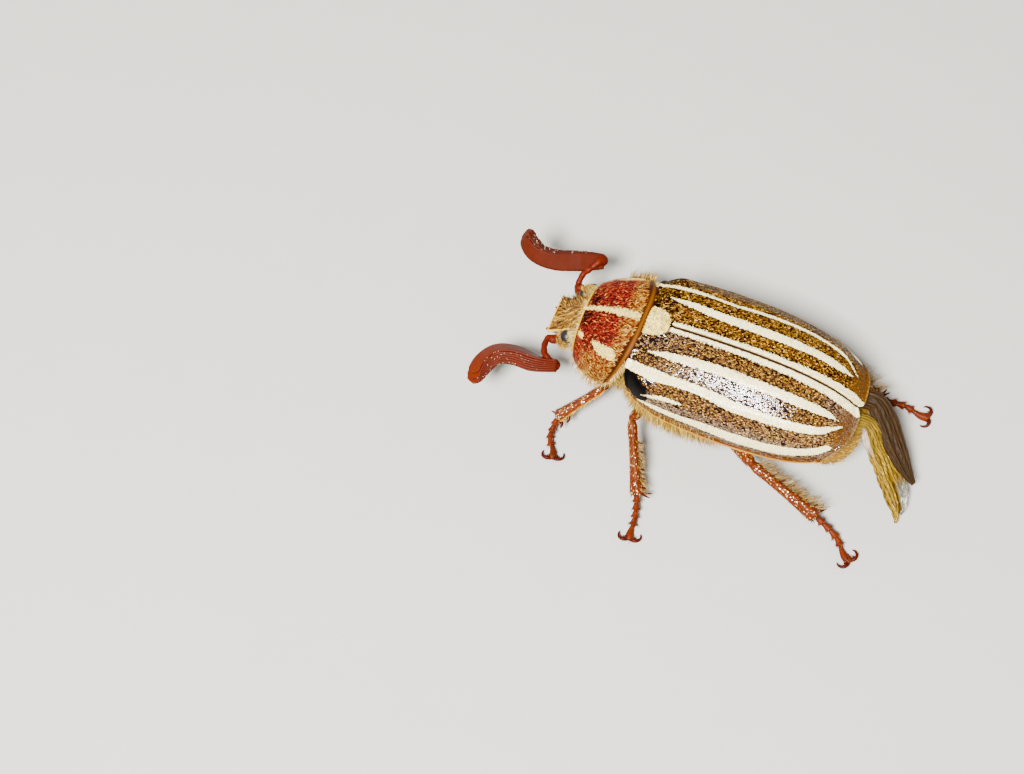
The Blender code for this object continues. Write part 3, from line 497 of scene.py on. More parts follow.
def rounded(angle, square):
    """Cosine and sine of an angle, squared off towards a box as square rises past 2."""
    c = np.cos(angle)
    s = np.sin(angle)
    power = 2 / square
    return np.sign(c) * np.abs(c) ** power, np.sign(s) * np.abs(s) ** power


def bump(distance, width):
    """A smooth hump of height one at zero distance."""
    return np.exp(-((distance / width) ** 2))


def ramp(value, low, high):
    """A smooth rise from 0 at low to 1 at high."""
    t = np.clip((value - low) / (high - low), 0.0, 1.0)
    return t * t * (3 - 2 * t)


def paint(colour):
    """A screen colour as the linear values that shaders use."""
    return (np.array(colour, dtype=float) / 255.0) ** SCREEN_POWER


def mix(first, second, share):
    """Blend of two colours, or arrays of them, by an array of shares."""
    share = np.asarray(share, dtype=float)[..., None]
    return first * (1 - share) + second * share


def lattice(down, across):
    """Two grids of evenly spaced values, each from a start, an end and a count."""
    return np.meshgrid(np.linspace(*down), np.linspace(*across), indexing="ij")


def washed(colour, *layers):
    """A colour with others laid over it in turn, each by its share."""
    for tint, share in layers:
        colour = mix(colour, paint(tint), share)
    return colour


def case_point(turn, y):
    """Points of the wing cases' outer surface."""
    turn, y = np.broadcast_arrays(turn, y)
    rim = follow(RIM, y)
    up, out = rounded(np.radians(turn), BODY_SQUARE)
    return np.stack((follow(HALF_WIDTH, y) * out, y, rim + (follow(CREST, y) - rim) * up), axis=-1)


def case_height(x, y):
    """Height of the wing cases' outer surface over the plan."""
    rim = follow(RIM, y)
    share = np.clip(np.abs(x) / follow(HALF_WIDTH, y), 0.0, 1.0)
    return rim + (follow(CREST, y) - rim) * (1.0 - share**BODY_SQUARE) ** (1.0 / BODY_SQUARE)


def case_ends(turn):
    """Where a wing case starts and ends along y at each turn."""
    share = turn / 90.0
    start = CASE_BASE - SHOULDER_REACH * np.sin(math.pi * share**1.2)
    inner = np.sqrt(np.clip(1.0 - (case_point(turn, 1.0)[..., 0] / NOTCH_HALF) ** 2, 0.0, 1.0))
    corner = APEX_CORNER * np.clip(1.0 - turn / APEX_CORNER_TURN, 0.0, 1.0) ** 2
    return start + (NOTCH_BACK - start) * inner, CASE_APEX - APEX_CUT * share**2.6 - corner


def case_place(u, v):
    """Turn and y at shares u along and v across a wing case."""
    turn = 90.0 * v
    start, end = case_ends(turn)
    return turn, start + (end - start) * u


def shield_place(share, across):
    """Points of the pronotum: share runs front to back, across from -1 to 1 over the dome."""
    turn = np.abs(across) * 90.0
    front = SHIELD_FRONT + (SHIELD_FRONT_CORNER - SHIELD_FRONT) * (turn / 90.0) ** 2
    back = SHIELD_BACK + (SHIELD_BACK_CORNER - SHIELD_BACK) * (turn / 90.0) ** 2.4
    y = front + (back - front) * share
    rim = follow(SHIELD_RIM, y)
    up, out = rounded(np.radians(turn), SHIELD_SQUARE)
    x = np.sign(across) * follow(SHIELD_HALF, y) * out
    return np.stack((x, y, rim + (follow(SHIELD_CREST, y) - rim) * up), axis=-1)


class Patch:
    """A grid of surface points with its outward normals and the way its rows follow one another."""

    def __init__(self, points, outward):
        self.points = points
        self.along = unit(np.gradient(points, axis=0))
        self.normals = unit(np.cross(np.gradient(points, axis=0), np.gradient(points, axis=1)))
        if np.sum(self.normals * outward) < 0:
            self.normals = -self.normals

    def raised(self, heights):
        """The same patch with its points moved out along the normals."""
        return Patch(self.points + self.normals * heights[..., None], self.normals)

    def at(self, grid, u, v):
        """Vectors of a grid at shares u down the rows and v across them."""
        rows, columns = grid.shape[:2]
        a = np.clip(u, 0, SHARE_END) * (rows - 1)
        b = np.clip(v, 0, SHARE_END) * (columns - 1)
        i = a.astype(int)
        j = b.astype(int)
        fa = (a - i)[:, None]
        fb = (b - j)[:, None]
        top = grid[i, j] * (1 - fb) + grid[i, j + 1] * fb
        low = grid[i + 1, j] * (1 - fb) + grid[i + 1, j + 1] * fb
        return top * (1 - fa) + low * fa

    def value(self, grid, u, v):
        """Single numbers of a grid, read as at() reads vectors."""
        return self.at(grid[..., None], u, v)[:, 0]

    def spread(self, per_mm2, rng, chance=None):
        """Evenly scattered places over the patch, thinned where chance(u, v) is below one."""
        down = np.diff(self.points, axis=0)
        across = np.diff(self.points, axis=1)
        areas = np.linalg.norm(np.cross(down[:, :-1], across[:-1]), axis=2)
        count = int(per_mm2 * areas.max() * areas.size)
        k = np.arange(count) + 0.5
        jitter = 0.5 / math.sqrt(count)
        u, v = (
            np.clip((k * step) % 1.0 + rng.uniform(-jitter, jitter, count), 0, SPREAD_END)
            for step in SPREAD_STEPS
        )
        share = areas[(u * areas.shape[0]).astype(int), (v * areas.shape[1]).astype(int)] / areas.max()
        keep = rng.random(count) < share
        u = u[keep]
        v = v[keep]
        if chance is not None:
            keep = rng.random(len(u)) < chance(u, v)
            u = u[keep]
            v = v[keep]
        return u, v


class Build:
    """Points, faces and colours gathered for one mesh."""

    def __init__(self):
        self.points = []
        self.faces = []
        self.tints = []
        self.roots = []
        self.count = 0

    def add(self, points, faces, tint, roots=None):
        """Add points with faces of one kind or a list of kinds, and their tint."""
        points = np.asarray(points, dtype=float).reshape(-1, 3)
        for group in faces if isinstance(faces, list) else [faces]:
            self.faces.append(np.asarray(group, dtype=int) + self.count)
        self.points.append(points)
        self.tints.append(np.broadcast_to(tint, points.shape))
        if roots is not None:
            self.roots.append(roots)
        self.count += len(points)

    def make(self, name, look, replaces=(), smooth=True):
        """The gathered mesh as a piece of the model."""
        mesh = bpy.data.meshes.new(name)
        points = np.concatenate(self.points)
        points[:, 2] = np.maximum(points[:, 2], 0.0)
        points = (points - CENTRE) * MM
        corners = np.concatenate([group.ravel() for group in self.faces])
        sizes = np.concatenate([np.full(len(group), group.shape[1]) for group in self.faces])
        starts = np.concatenate(([0], np.cumsum(sizes)[:-1]))
        mesh.vertices.add(len(points))
        mesh.vertices.foreach_set("co", points.ravel())
        mesh.loops.add(len(corners))
        mesh.loops.foreach_set("vertex_index", corners)
        mesh.polygons.add(len(sizes))
        mesh.polygons.foreach_set("loop_start", starts)
        mesh.polygons.foreach_set("use_smooth", np.full(len(sizes), smooth))
        tints = np.concatenate([np.concatenate(self.tints), np.ones((len(points), 1))], axis=1)
        mesh.attributes.new("tint", "FLOAT_COLOR", "POINT").data.foreach_set("color", tints.ravel())
        if self.roots:
            places = np.concatenate(self.roots)[corners]
            mesh.uv_layers.new(name="OFBake").data.foreach_set("uv", places.ravel())
        mesh.update(calc_edges=True)
        mesh.materials.append(look)
        piece = bpy.data.objects.new(name, mesh)
        bpy.context.scene.collection.objects.link(piece)
        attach(piece, "root")
        if replaces:
            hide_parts(*replaces)


def grid_faces(rows, columns, flip=False):
    """Quads over a grid of points."""
    index = np.arange(rows * columns).reshape(rows, columns)
    quads = np.stack((index[:-1, :-1], index[1:, :-1], index[1:, 1:], index[:-1, 1:]), axis=-1)
    quads = quads.reshape(-1, 4)
    return quads[:, ::-1] if flip else quads


def add_shell(build, patch, thickness, tints):
    """A patch thickened inwards into a closed plate."""
    rows, columns = patch.points.shape[:2]
    total = rows * columns
    inner = patch.points - patch.normals * thickness
    sample = np.cross(patch.points[1, 0] - patch.points[0, 0], patch.points[0, 1] - patch.points[0, 0])
    outward = float(np.dot(sample, patch.normals[0, 0])) > 0
    outer_faces = grid_faces(rows, columns, flip=not outward)
    inner_faces = grid_faces(rows, columns, flip=outward) + total
    index = np.arange(total).reshape(rows, columns)
    loop = np.concatenate((index[:-1, 0], index[-1, :-1], index[:0:-1, -1], index[0, :0:-1]))
    after = np.roll(loop, -1)
    border = np.stack((loop, loop + total, after + total, after), axis=1)
    if not outward:
        border = border[:, ::-1]
    points = np.concatenate((patch.points.reshape(-1, 3), inner.reshape(-1, 3)))
    tints = np.broadcast_to(tints, patch.points.shape).reshape(-1, 3)
    faces = np.concatenate((outer_faces, inner_faces, border))
    # The inner face is painted darker: painted shade on the plate's underside.
    build.add(points, faces, np.concatenate((tints, tints * INNER_PAINTED_SHADE)))


def tube_rings(points, radii, sides, flat=1.0, ridges=0.0):
    """Rings of points round a line, flattened upwards by flat, with four ridges of a given height."""
    points = np.asarray(points, dtype=float)
    ahead = unit(np.gradient(points, axis=0))
    sideways = unit(np.cross(ahead, UPWARD))
    up = np.cross(sideways, ahead)
    angle = np.linspace(0.0, FULL_TURN, sides + 1)
    reach = np.asarray(radii, dtype=float)[:, None] * (1.0 + ridges * np.cos(4 * angle))
    across = (reach * np.cos(angle))[..., None] * sideways[:, None, :]
    rise = (reach * np.sin(angle) * flat)[..., None] * up[:, None, :]
    return points[:, None, :] + across + rise


def add_tube(build, rings, tint):
    """A closed bar through rings whose last column repeats the first; gives its patch back."""
    rows, columns = rings.shape[:2]
    sides = columns - 1
    index = np.arange(rows * sides).reshape(rows, sides)
    beside = np.roll(index, -1, axis=1)
    quads = np.stack((index[:-1], beside[:-1], beside[1:], index[1:]), axis=-1).reshape(-1, 4)
    poles = np.stack((rings[0, :-1].mean(axis=0), rings[-1, :-1].mean(axis=0)))
    first = np.stack((beside[0], index[0], np.full(sides, rows * sides)), axis=1)
    last = np.stack((index[-1], beside[-1], np.full(sides, rows * sides + 1)), axis=1)
    half = rows // 2
    corner = rings[half, 0]
    lean = np.cross(rings[half, 1] - corner, rings[half + 1, 0] - corner)
    if float(np.dot(lean, corner - rings[half, :-1].mean(axis=0))) < 0:
        quads = quads[:, ::-1]
        first = first[:, ::-1]
        last = last[:, ::-1]
    tints = np.broadcast_to(tint, rings.shape)[:, :-1].reshape(-1, 3)
    tints = np.concatenate((tints, tints[:1], tints[-1:]))
    points = np.concatenate((rings[:, :-1].reshape(-1, 3), poles))
    build.add(points, [quads, np.concatenate((first, last))], tints)
    return Patch(rings, rings - rings[:, :-1].mean(axis=1, keepdims=True))


def add_bar(build, points, radii, tint, sides=12, count=None, flat=1.0):
    """A smooth round-ended bar through a few points with their radii; gives its patch back."""
    count = count or 6 * len(points)
    shares = np.linspace(0.0, 1.0, len(radii))
    radius = follow(tuple(zip(shares, radii)), np.linspace(0.0, 1.0, count))
    end = np.minimum(np.arange(count), np.arange(count)[::-1])
    radius = radius * np.sqrt(np.clip((end + 0.25) / 1.6, 0.0, 1.0))
    return add_tube(build, tube_rings(route(points, count), radius, sides, flat), tint)


def add_ball(build, centre, radii, tint, sides=24):
    """An ellipsoid."""
    lift = np.linspace(-1.0, 1.0, sides // 2 + 1) * math.pi / 2 * BALL_REACH
    angle = np.linspace(0.0, FULL_TURN, sides + 1)
    reach = np.cos(lift)[:, None]
    height = np.sin(lift)[:, None] + 0 * angle
    rings = np.stack((reach * np.cos(angle), reach * np.sin(angle), height), axis=-1)
    add_tube(build, rings * np.asarray(radii) + np.asarray(centre), tint)


def root_places(u, v, offsets):
    """Bake places of each element's points, a small patch round its root on the skin's unwrap."""
    roots = np.stack((0.01 + 0.98 * u, 0.01 + 0.98 * v), axis=1)
    return (roots[:, None, :] + np.asarray(offsets) * BAKE_PATCH / 2).reshape(-1, 2)


def repeated(faces, count, points):
    """The faces of one element, repeated for a number of elements of so many points each."""
    faces = np.array(faces)
    offset = points * np.arange(count)[:, None, None]
    return (faces[None] + offset).reshape(-1, faces.shape[1])


def rooted(patch, u, v, heading, turn_by, rng):
    """Roots on a patch, their normals, and headings along it, each turned a little at random."""
    normal = unit(patch.at(patch.normals, u, v))
    ahead = patch.at(patch.along, u, v) if heading is None else heading
    ahead = unit(ahead - normal * np.sum(ahead * normal, axis=1, keepdims=True))
    angle = rng.normal(0.0, turn_by, len(u))[:, None]
    ahead = ahead * np.cos(angle) + np.cross(normal, ahead) * np.sin(angle)
    return patch.at(patch.points, u, v), normal, ahead


def add_scales(build, patch, u, v, tints, rng, length, width, turn_by, lift, arch=0.2, heading=None):
    """Closed lancet scales lying on a patch, their roots sunk in it."""
    count = len(u)
    spot, normal, ahead = rooted(patch, u, v, heading, turn_by, rng)
    side = np.cross(normal, ahead)
    reach = (length * rng.uniform(*SCALE_LENGTHS, count))[:, None]
    half = (width * rng.uniform(*SCALE_WIDTHS, count))[:, None]
    rise = (lift * rng.uniform(*SCALE_LIFTS, count))[:, None]
    root = spot - normal * SCALE_SUNK - ahead * reach * 0.5
    left = spot - ahead * reach * 0.05 + side * half + normal * rise * 0.42
    right = spot - ahead * reach * 0.05 - side * half + normal * rise * 0.42
    tip = spot + ahead * reach * 0.5 + normal * rise
    top = spot + normal * (rise * 0.5 + half * arch)
    points = np.stack((root, left, right, tip, top), axis=1).reshape(-1, 3)
    shades = np.repeat(tints, len(SCALE_BAKE), axis=0)
    # The root point is painted darker: painted shade at the base of each scale.
    shades.reshape(count, -1, 3)[:, 0] *= SCALE_ROOT_PAINTED_SHADE
    faces = repeated(SCALE_FACES, count, len(SCALE_BAKE))
    build.add(points, faces, shades, root_places(u, v, SCALE_BAKE))


def add_hairs(build, patch, u, v, tints, rng, length, width, rise, droop=0.0, heading=None, turn_by=0.3):
    """Tapered three-sided hairs rooted in a patch, rising from it and then drooping."""
    count = len(u)
    spot, normal, ahead = rooted(patch, u, v, heading, turn_by, rng)
    tilt = np.clip(rise + rng.normal(0.0, 0.15, count), *HAIR_TILTS)[:, None]
    way = ahead * np.cos(tilt) + normal * np.sin(tilt)
    side = unit(np.cross(normal, way))
    over = np.cross(way, side)
    reach = (length * rng.uniform(*HAIR_LENGTHS, count))[:, None]
    thick = (width * rng.uniform(*HAIR_WIDTHS, count))[:, None]
    bend = np.array((0.0, 0.0, -droop)) + rng.normal(0.0, 0.12, (count, 3))
    layers = []
    for share, size in HAIR_LAYERS:
        base = spot + way * reach * share + bend * reach * max(share, 0.0) ** 2
        for corner in range(3):
            turn = FULL_TURN * corner / 3
            layers.append(base + (side * math.cos(turn) + over * math.sin(turn)) * thick * size * 0.5)
    tip = spot + way * reach + bend * reach
    points = np.stack((*layers, tip), axis=1).reshape(-1, 3)
    shades = np.repeat(tints, len(HAIR_BAKE), axis=0)
    # The root ring is painted darker: painted shade at the base of each hair.
    shades.reshape(count, -1, 3)[:, :3] *= HAIR_ROOT_PAINTED_SHADE
    faces = [repeated(kind, count, len(HAIR_BAKE)) for kind in (HAIR_QUADS, HAIR_TRIANGLES)]
    build.add(points, faces, shades, root_places(u, v, HAIR_BAKE))


def tones(rng, count, kind):
    """Colours of a mixture picked at random, each a little lighter or darker."""
    colours, weights = zip(*MIXTURES[kind])
    pick = rng.choice(len(colours), size=count, p=np.array(weights) / sum(weights))
    shades = np.array([paint(colour) for colour in colours])[pick]
    return shades * rng.uniform(0.75, 1.25, (count, 1))


def make_look(name, roughness, grain, grain_depth, mottle, coat=0.0, specular=0.5, index=1.5, metal=0.0):
    """A material coloured by the mesh's tint, varied by noise at two scales, with a fine bump."""
    look = bpy.data.materials.new(name)
    look.use_nodes = True
    tree = look.node_tree
    shader = tree.nodes["Principled BSDF"]
    shader.inputs["Specular IOR Level"].default_value = specular
    shader.inputs["Coat Weight"].default_value = coat
    shader.inputs["Coat Roughness"].default_value = 0.12
    shader.inputs["Coat IOR"].default_value = index
    shader.inputs["Metallic"].default_value = metal
    place = tree.nodes.new("ShaderNodeTexCoord")
    tint = tree.nodes.new("ShaderNodeAttribute")
    tint.attribute_name = "tint"
    broad = tree.nodes.new("ShaderNodeTexNoise")
    broad.inputs["Scale"].default_value = grain * 0.2
    broad.inputs["Detail"].default_value = 4.0
    fine = tree.nodes.new("ShaderNodeTexNoise")
    fine.inputs["Scale"].default_value = grain
    fine.inputs["Detail"].default_value = 3.0
    for noise in (broad, fine):
        tree.links.new(place.outputs["Object"], noise.inputs["Vector"])
    shade = tree.nodes.new("ShaderNodeMapRange")
    shade.inputs["To Min"].default_value = 1.0 - mottle
    shade.inputs["To Max"].default_value = 1.0 + mottle
    tree.links.new(broad.outputs["Fac"], shade.inputs["Value"])
    colour = tree.nodes.new("ShaderNodeVectorMath")
    colour.operation = "SCALE"
    tree.links.new(tint.outputs["Color"], colour.inputs[0])
    tree.links.new(shade.outputs["Result"], colour.inputs["Scale"])
    tree.links.new(colour.outputs["Vector"], shader.inputs["Base Color"])
    gloss = tree.nodes.new("ShaderNodeMapRange")
    gloss.inputs["To Min"].default_value = roughness * 0.8
    gloss.inputs["To Max"].default_value = roughness * 1.2
    tree.links.new(fine.outputs["Fac"], gloss.inputs["Value"])
    tree.links.new(gloss.outputs["Result"], shader.inputs["Roughness"])
    relief = tree.nodes.new("ShaderNodeBump")
    relief.inputs["Strength"].default_value = 0.6
    relief.inputs["Distance"].default_value = grain_depth * MM
    tree.links.new(fine.outputs["Fac"], relief.inputs["Height"])
    tree.links.new(relief.outputs["Normal"], shader.inputs["Normal"])
    return look


def make_eye_look():
    """Dark glossy facets."""
    look = make_look("eye_facets", 0.45, 60000.0, 0.004, 0.85, specular=0.3)
    tree = look.node_tree
    facets = tree.nodes.new("ShaderNodeTexVoronoi")
    facets.inputs["Scale"].default_value = 16000.0
    relief = tree.nodes["Bump"]
    tree.links.new(tree.nodes["Texture Coordinate"].outputs["Object"], facets.inputs["Vector"])
    tree.links.new(facets.outputs["Distance"], relief.inputs["Height"])
    return look


def stripe_depth(turn, y, side):
    """How many degrees of turn a place lies inside the nearest cream stripe, below zero outside."""
    if side == "right":
        turn = turn * (1.0 + RIGHT_SHIFT * np.sin(math.pi * np.clip(y / 19.0, 0.0, 1.0)) ** 2)
    depth = np.full(np.shape(turn), -90.0)
    for number, (inner, outer) in enumerate(STRIPES):
        first = follow(inner, y)
        last = follow(outer, y)
        if side == "right" and number == 2:
            last = first + (last - first) * RIGHT_NARROW
        if side == "right" and number == 3:
            first = first + RIGHT_TURN
            last = last + RIGHT_TURN
        inside = np.minimum(turn - first, last - turn)
        beyond = np.maximum(inner[0][0] - y, y - inner[-1][0])
        inside = np.where(beyond > 0.0, np.minimum(inside, -10.0 * beyond), inside)
        depth = np.maximum(depth, inside)
    return depth


def shoulder_black(turn, y):
    """Share of the bare black patch on the shoulder."""
    along = (y - SHOULDER_Y) / SHOULDER_HALF_LENGTH
    across = (turn - SHOULDER_TURN) / SHOULDER_HALF_TURN
    return 1.0 - ramp(np.sqrt(along**2 + across**2), 0.8, 1.15)


def russet_share(turn, y):
    """Share of the plain red-brown of the apex and the outer margin."""
    return np.maximum(ramp(y + 0.012 * np.abs(turn - 30.0), *RUSSET_APEX), ramp(turn, *RUSSET_MARGIN))


def case_tints(turn, y, side):
    """Colours of a wing case's own surface."""
    return washed(
        mix(paint(NIGHT), paint(RUSSET) * 0.8, russet_share(turn, y)),
        (MARGIN_BROWN, ramp(turn, 86.0, 88.0)),
        (RIM_GOLD, ramp(turn, 88.4, 89.2)),
        (APEX_GOLD, ramp(y - case_ends(turn)[1], -0.2, -0.08) * (turn < 84)),
        (SOOT, shoulder_black(turn, y)),
        (SEAM_BROWN, ramp(0.9 - turn, 0.0, 0.5) * (y > NOTCH_BACK)),
        (CREAM_GROUND, ramp(stripe_depth(turn, y, side), 0.2, 0.9) * (turn > SEAM_BARE)),
    )


def case_relief(turn, y):
    """Height of the fine forms: ribs, shoulder and rear humps, rounded edges."""
    height = 0.0 * turn
    for centre, depth in CASE_RIBS:
        height = height + depth * bump(turn - centre, 5.0) * ramp(y, 1.5, 4.0) * ramp(19.0 - y, 0.0, 2.5)
    for depth, centre, breadth, place, length in CASE_HUMPS:
        height = height + depth * bump(turn - centre, breadth) * bump(y - place, length)
    start, end = case_ends(turn)
    for edge in ((90.0 - turn) * 0.1, end - y, y - start):
        height = height + 0.07 * bump(edge - 0.12, 0.12) - 0.06 * bump(edge - 0.42, 0.16)
    return height + 0.05 * bump(turn - 1.2, 1.2)


def case_patch(side):
    """The outer surface of one wing case as a patch, rows running rearwards."""
    turn, y = case_place(*lattice((0, 1, 200), (0, 1, 96)))
    points = case_point(turn, y)
    points[..., 0] = SIDES[side] * np.maximum(points[..., 0], CASE_SEAM)
    return Patch(points, UPWARD).raised(case_relief(turn, y)), turn, y


def build_case(side):
    """One wing case with its turned-under margin."""
    patch, turn, y = case_patch(side)
    tints = case_tints(turn, y, side)
    edge = patch.points[:, -1:]
    under = []
    for share in (0.3, 0.65, 1.0):
        drop = math.sin(share * math.pi / 2)
        inward = 1.0 - math.cos(share * math.pi / 2)
        step = np.array((-SIDES[side] * EPIPLEURON_IN * inward, 0.0, -EPIPLEURON_DROP * drop))
        under.append(edge + step)
    margin = np.broadcast_to(paint(UNDER_MARGIN), (len(edge), len(under), 3))
    whole = Patch(np.concatenate((patch.points, *under), axis=1), UPWARD)
    build = Build()
    add_shell(build, whole, CASE_THICK, np.concatenate((tints, margin), axis=1))
    build.make("wing_case_" + side, LOOKS["case"], ("elytron_" + side,))


def dress_case(side):
    """The scales of one wing case: ochre over the dark ground, and dense cream ones in the stripes."""
    patch, _, _ = case_patch(side)
    rng = np.random.default_rng(CASE_SEEDS[side])

    def ochre_chance(u, v):
        turn, y = case_place(u, v)
        depth = stripe_depth(turn, y, side) + rng.normal(0.0, 0.5, len(u))
        chance = 0.76 - 0.56 * ramp(depth, -1.5, -0.4)
        chance = chance * (1.0 - 0.45 * ramp(3.2 - y, 0.0, 2.0) * (turn < 60))
        chance = chance * (1.0 - ramp(shoulder_black(turn, y), 0.1, 0.5))
        chance = chance * (1.0 - 0.7 * ramp(turn, 81.0, 85.0)) * (turn < 87.5)
        return np.where(depth > 0.1, 0.0, chance)

    def cream_chance(u, v):
        turn, y = case_place(u, v)
        depth = stripe_depth(turn, y, side) + rng.normal(0.0, 0.45, len(u))
        return np.where((depth > 0.45) & (turn > SEAM_BARE), 1.0, 0.0)

    u, v = patch.spread(100.0, rng, ochre_chance)
    shades = tones(rng, len(u), "ochre")
    russet = paint(RUSSET) * rng.uniform(0.6, 1.5, (len(u), 1))
    shades = mix(shades, russet, 0.85 * russet_share(*case_place(u, v)))
    build = Build()
    add_scales(build, patch, u, v, shades, rng, length=0.27, width=0.075, turn_by=0.5, lift=0.025, arch=0.07)
    build.make("ochre_scales_" + side, LOOKS["scale_" + side], smooth=False)

    u, v = patch.spread(300.0, rng, cream_chance)
    shades = tones(rng, len(u), "cream")
    build = Build()
    add_scales(build, patch, u, v, shades, rng, length=0.2, width=0.11, turn_by=0.35, lift=0.035, arch=0.1)
    build.make("cream_scales_" + side, LOOKS["cream"], smooth=False)


def build_scutellum():
    """The cream plate between the bases of the wing cases, with its bare hind rim."""
    u, v = lattice((0, 1, 40), (-1, 1, 41))
    half = SCUTELLUM_HALF * np.sqrt(np.clip(1.0 - u**2.4, 0.0, 1.0)) + 0.08
    x = half * v
    y = SCUTELLUM_START + SCUTELLUM_LENGTH * u
    lumps = np.sin(19.0 * u + 3.0 * np.sin(9.0 * v)) * np.sin(13.0 * v + 2.0 * np.sin(17.0 * u))
    z = case_height(x, y) + 0.12 * (1 - v * v) + 0.04 * (1 - u) + 0.045 * lumps
    patch = Patch(np.stack((x, y, z), axis=-1), UPWARD)
    build = Build()
    tints = mix(paint(SCUTELLUM_GROUND), paint(SCUTELLUM_RIM), ramp(u, 0.93, 0.98))
    add_shell(build, patch, CASE_THICK, tints)
    build.make("scutellum_plate", LOOKS["case"], ("scutellum",))
    rng = np.random.default_rng(SCUTELLUM_SEED)

    def chance(a, b):
        return np.where(a + rng.normal(0.0, 0.02, len(a)) < 0.94, 1.0, 0.0)

    a, b = patch.spread(190.0, rng, chance)
    # Scales are painted darker over the plate's hollows and lighter over its lumps: painted shade and light.
    shades = tones(rng, len(a), "scutellum") * (0.84 + 0.2 * patch.at(lumps[..., None], a, b))
    build = Build()
    add_scales(build, patch, a, b, shades, rng, length=0.3, width=0.1, turn_by=0.6, lift=0.16)
    build.make("scutellum_scales", LOOKS["cream"], smooth=False)


def shield_marks(share, across):
    """Depths inside the pronotum's cream marks, and shares of its bare hind band and dark front."""
    far = across < 0
    side = np.abs(across)
    cream = np.minimum((follow(MEDIAN_HALF, share) - side) * 60.0, (0.885 - share) * 40.0)
    shifted = side - FAR_COMMA_SHIFT * far
    comma = np.minimum(shifted - follow(COMMA[0], share), follow(COMMA[1], share) - shifted) * 60.0
    comma = np.minimum(comma, np.minimum(share - 0.35, 0.79 - share) * 40.0)
    spot = (1.0 - np.sqrt(((share - 0.115) / 0.06) ** 2 + ((shifted - 0.41) / 0.045) ** 2)) * 3.0
    cream = np.maximum(cream, np.maximum(comma, spot - 9.0 * far))
    ragged = np.sin(108.0 * share + 2.0 * np.sin(50.0 * across))
    ragged = ragged * np.sin(144.0 * across + np.sin(37.0 * share))
    cream = cream + 0.8 * ragged * bump(cream, 1.5)
    band = ramp(share - BAND_START + BAND_BEND * ramp(side, 0.2, 0.45), -0.01, 0.02)
    dark = bump(side - 0.12, 0.16) * ramp(0.4 - share, 0.0, 0.3)
    return cream, band, dark


def build_shield():
    """The pronotum, with its beaded edges and smooth hind lip."""
    share, across = lattice((0, 1, 110), (-1, 1, 181))
    side = np.abs(across)
    cream, band, dark = shield_marks(share, across)
    height = 0.06 * bump(share - 0.012, 0.012) - 0.05 * bump(share - 0.05, 0.02)
    height = height + 0.07 * bump(1 - side, 0.02) - 0.06 * bump(share - 0.855, 0.012)
    height = height + 0.08 * bump(share - 0.94, 0.05) * band
    height = height - 0.10 * bump(across, 0.05) * bump(share - 0.75, 0.2)
    height = height - 0.12 * bump(side - 0.62, 0.06) * bump(share - 0.5, 0.16)
    patch = Patch(shield_place(share, across), UPWARD).raised(height)
    rim = np.maximum(ramp(0.034 - share, 0.0, 0.01), ramp(side, 0.975, 0.985) * (across < 0))
    # The hind band is painted lighter along its raised crest: painted highlight over the band's dark brown.
    lip = mix(paint(BAND_DARK), paint(BAND_CREST_HIGHLIGHT), bump(share - 0.945, 0.028))
    colour = washed(
        paint(BURGUNDY),
        (SHIELD_DARK, np.clip(dark, 0.0, 1.0)),
        (SHIELD_GOLDEN, np.maximum(ramp(share, 0.62, 0.8), ramp(side, 0.55, 0.8)) * 0.75),
    )
    colour = washed(
        mix(colour, lip, band),
        (BAND_EDGE, bump(share - 0.885 + BAND_BEND * ramp(side, 0.2, 0.45), 0.012)),
        (SHIELD_EDGE, rim),
        (SHIELD_CREAM, ramp(cream, 0.3, 0.8) * (1 - band)),
    )
    build = Build()
    add_shell(build, patch, SHIELD_THICK, colour)
    build.make("pronotum_plate", LOOKS["shield"], ("pronotum",))
    return patch


def either(rng, count, first, second, share=0.5):
    """Random values from one range or, for the rest, from another."""
    return np.where(rng.random(count) < share, rng.uniform(*first, count), rng.uniform(*second, count))


def towards(x, y, z, count):
    """Directions for a number of hairs, each part being one value or an array of them."""
    return np.stack([np.broadcast_to(part, count) for part in (x, y, z)], axis=1)


def fringe_roots(edge, count, rng):
    """Places on the pronotum for the hairs of one edge, and the way that they point."""
    if edge == "side":
        u = rng.uniform(0.03, 0.97, count)
        v = np.where(rng.random(count) < 0.5, 1.0, 0.0) + rng.normal(0, 0.004, count)
        way = (np.where(v > 0.5, 1.0, -1.0), -0.3, -0.55)
    elif edge == "far":
        u = rng.uniform(0.5, 1.0, count)
        v = rng.uniform(0.0, 0.03, count)
        way = (-1.0, 0.2, 0.5)
    elif edge == "front":
        u = rng.uniform(0.0, 0.03, count)
        v = rng.uniform(0.02, 0.98, count)
        way = (2 * v - 1, -1.0, -0.2)
    else:
        u = rng.uniform(0.97, 1.0, count)
        v = either(rng, count, (0.0, 0.2), (0.8, 1.0))
        way = (2 * v - 1, 0.8, -0.4)
    return np.clip(u, 0, 1), np.clip(v, 0, 1), towards(*way, count)


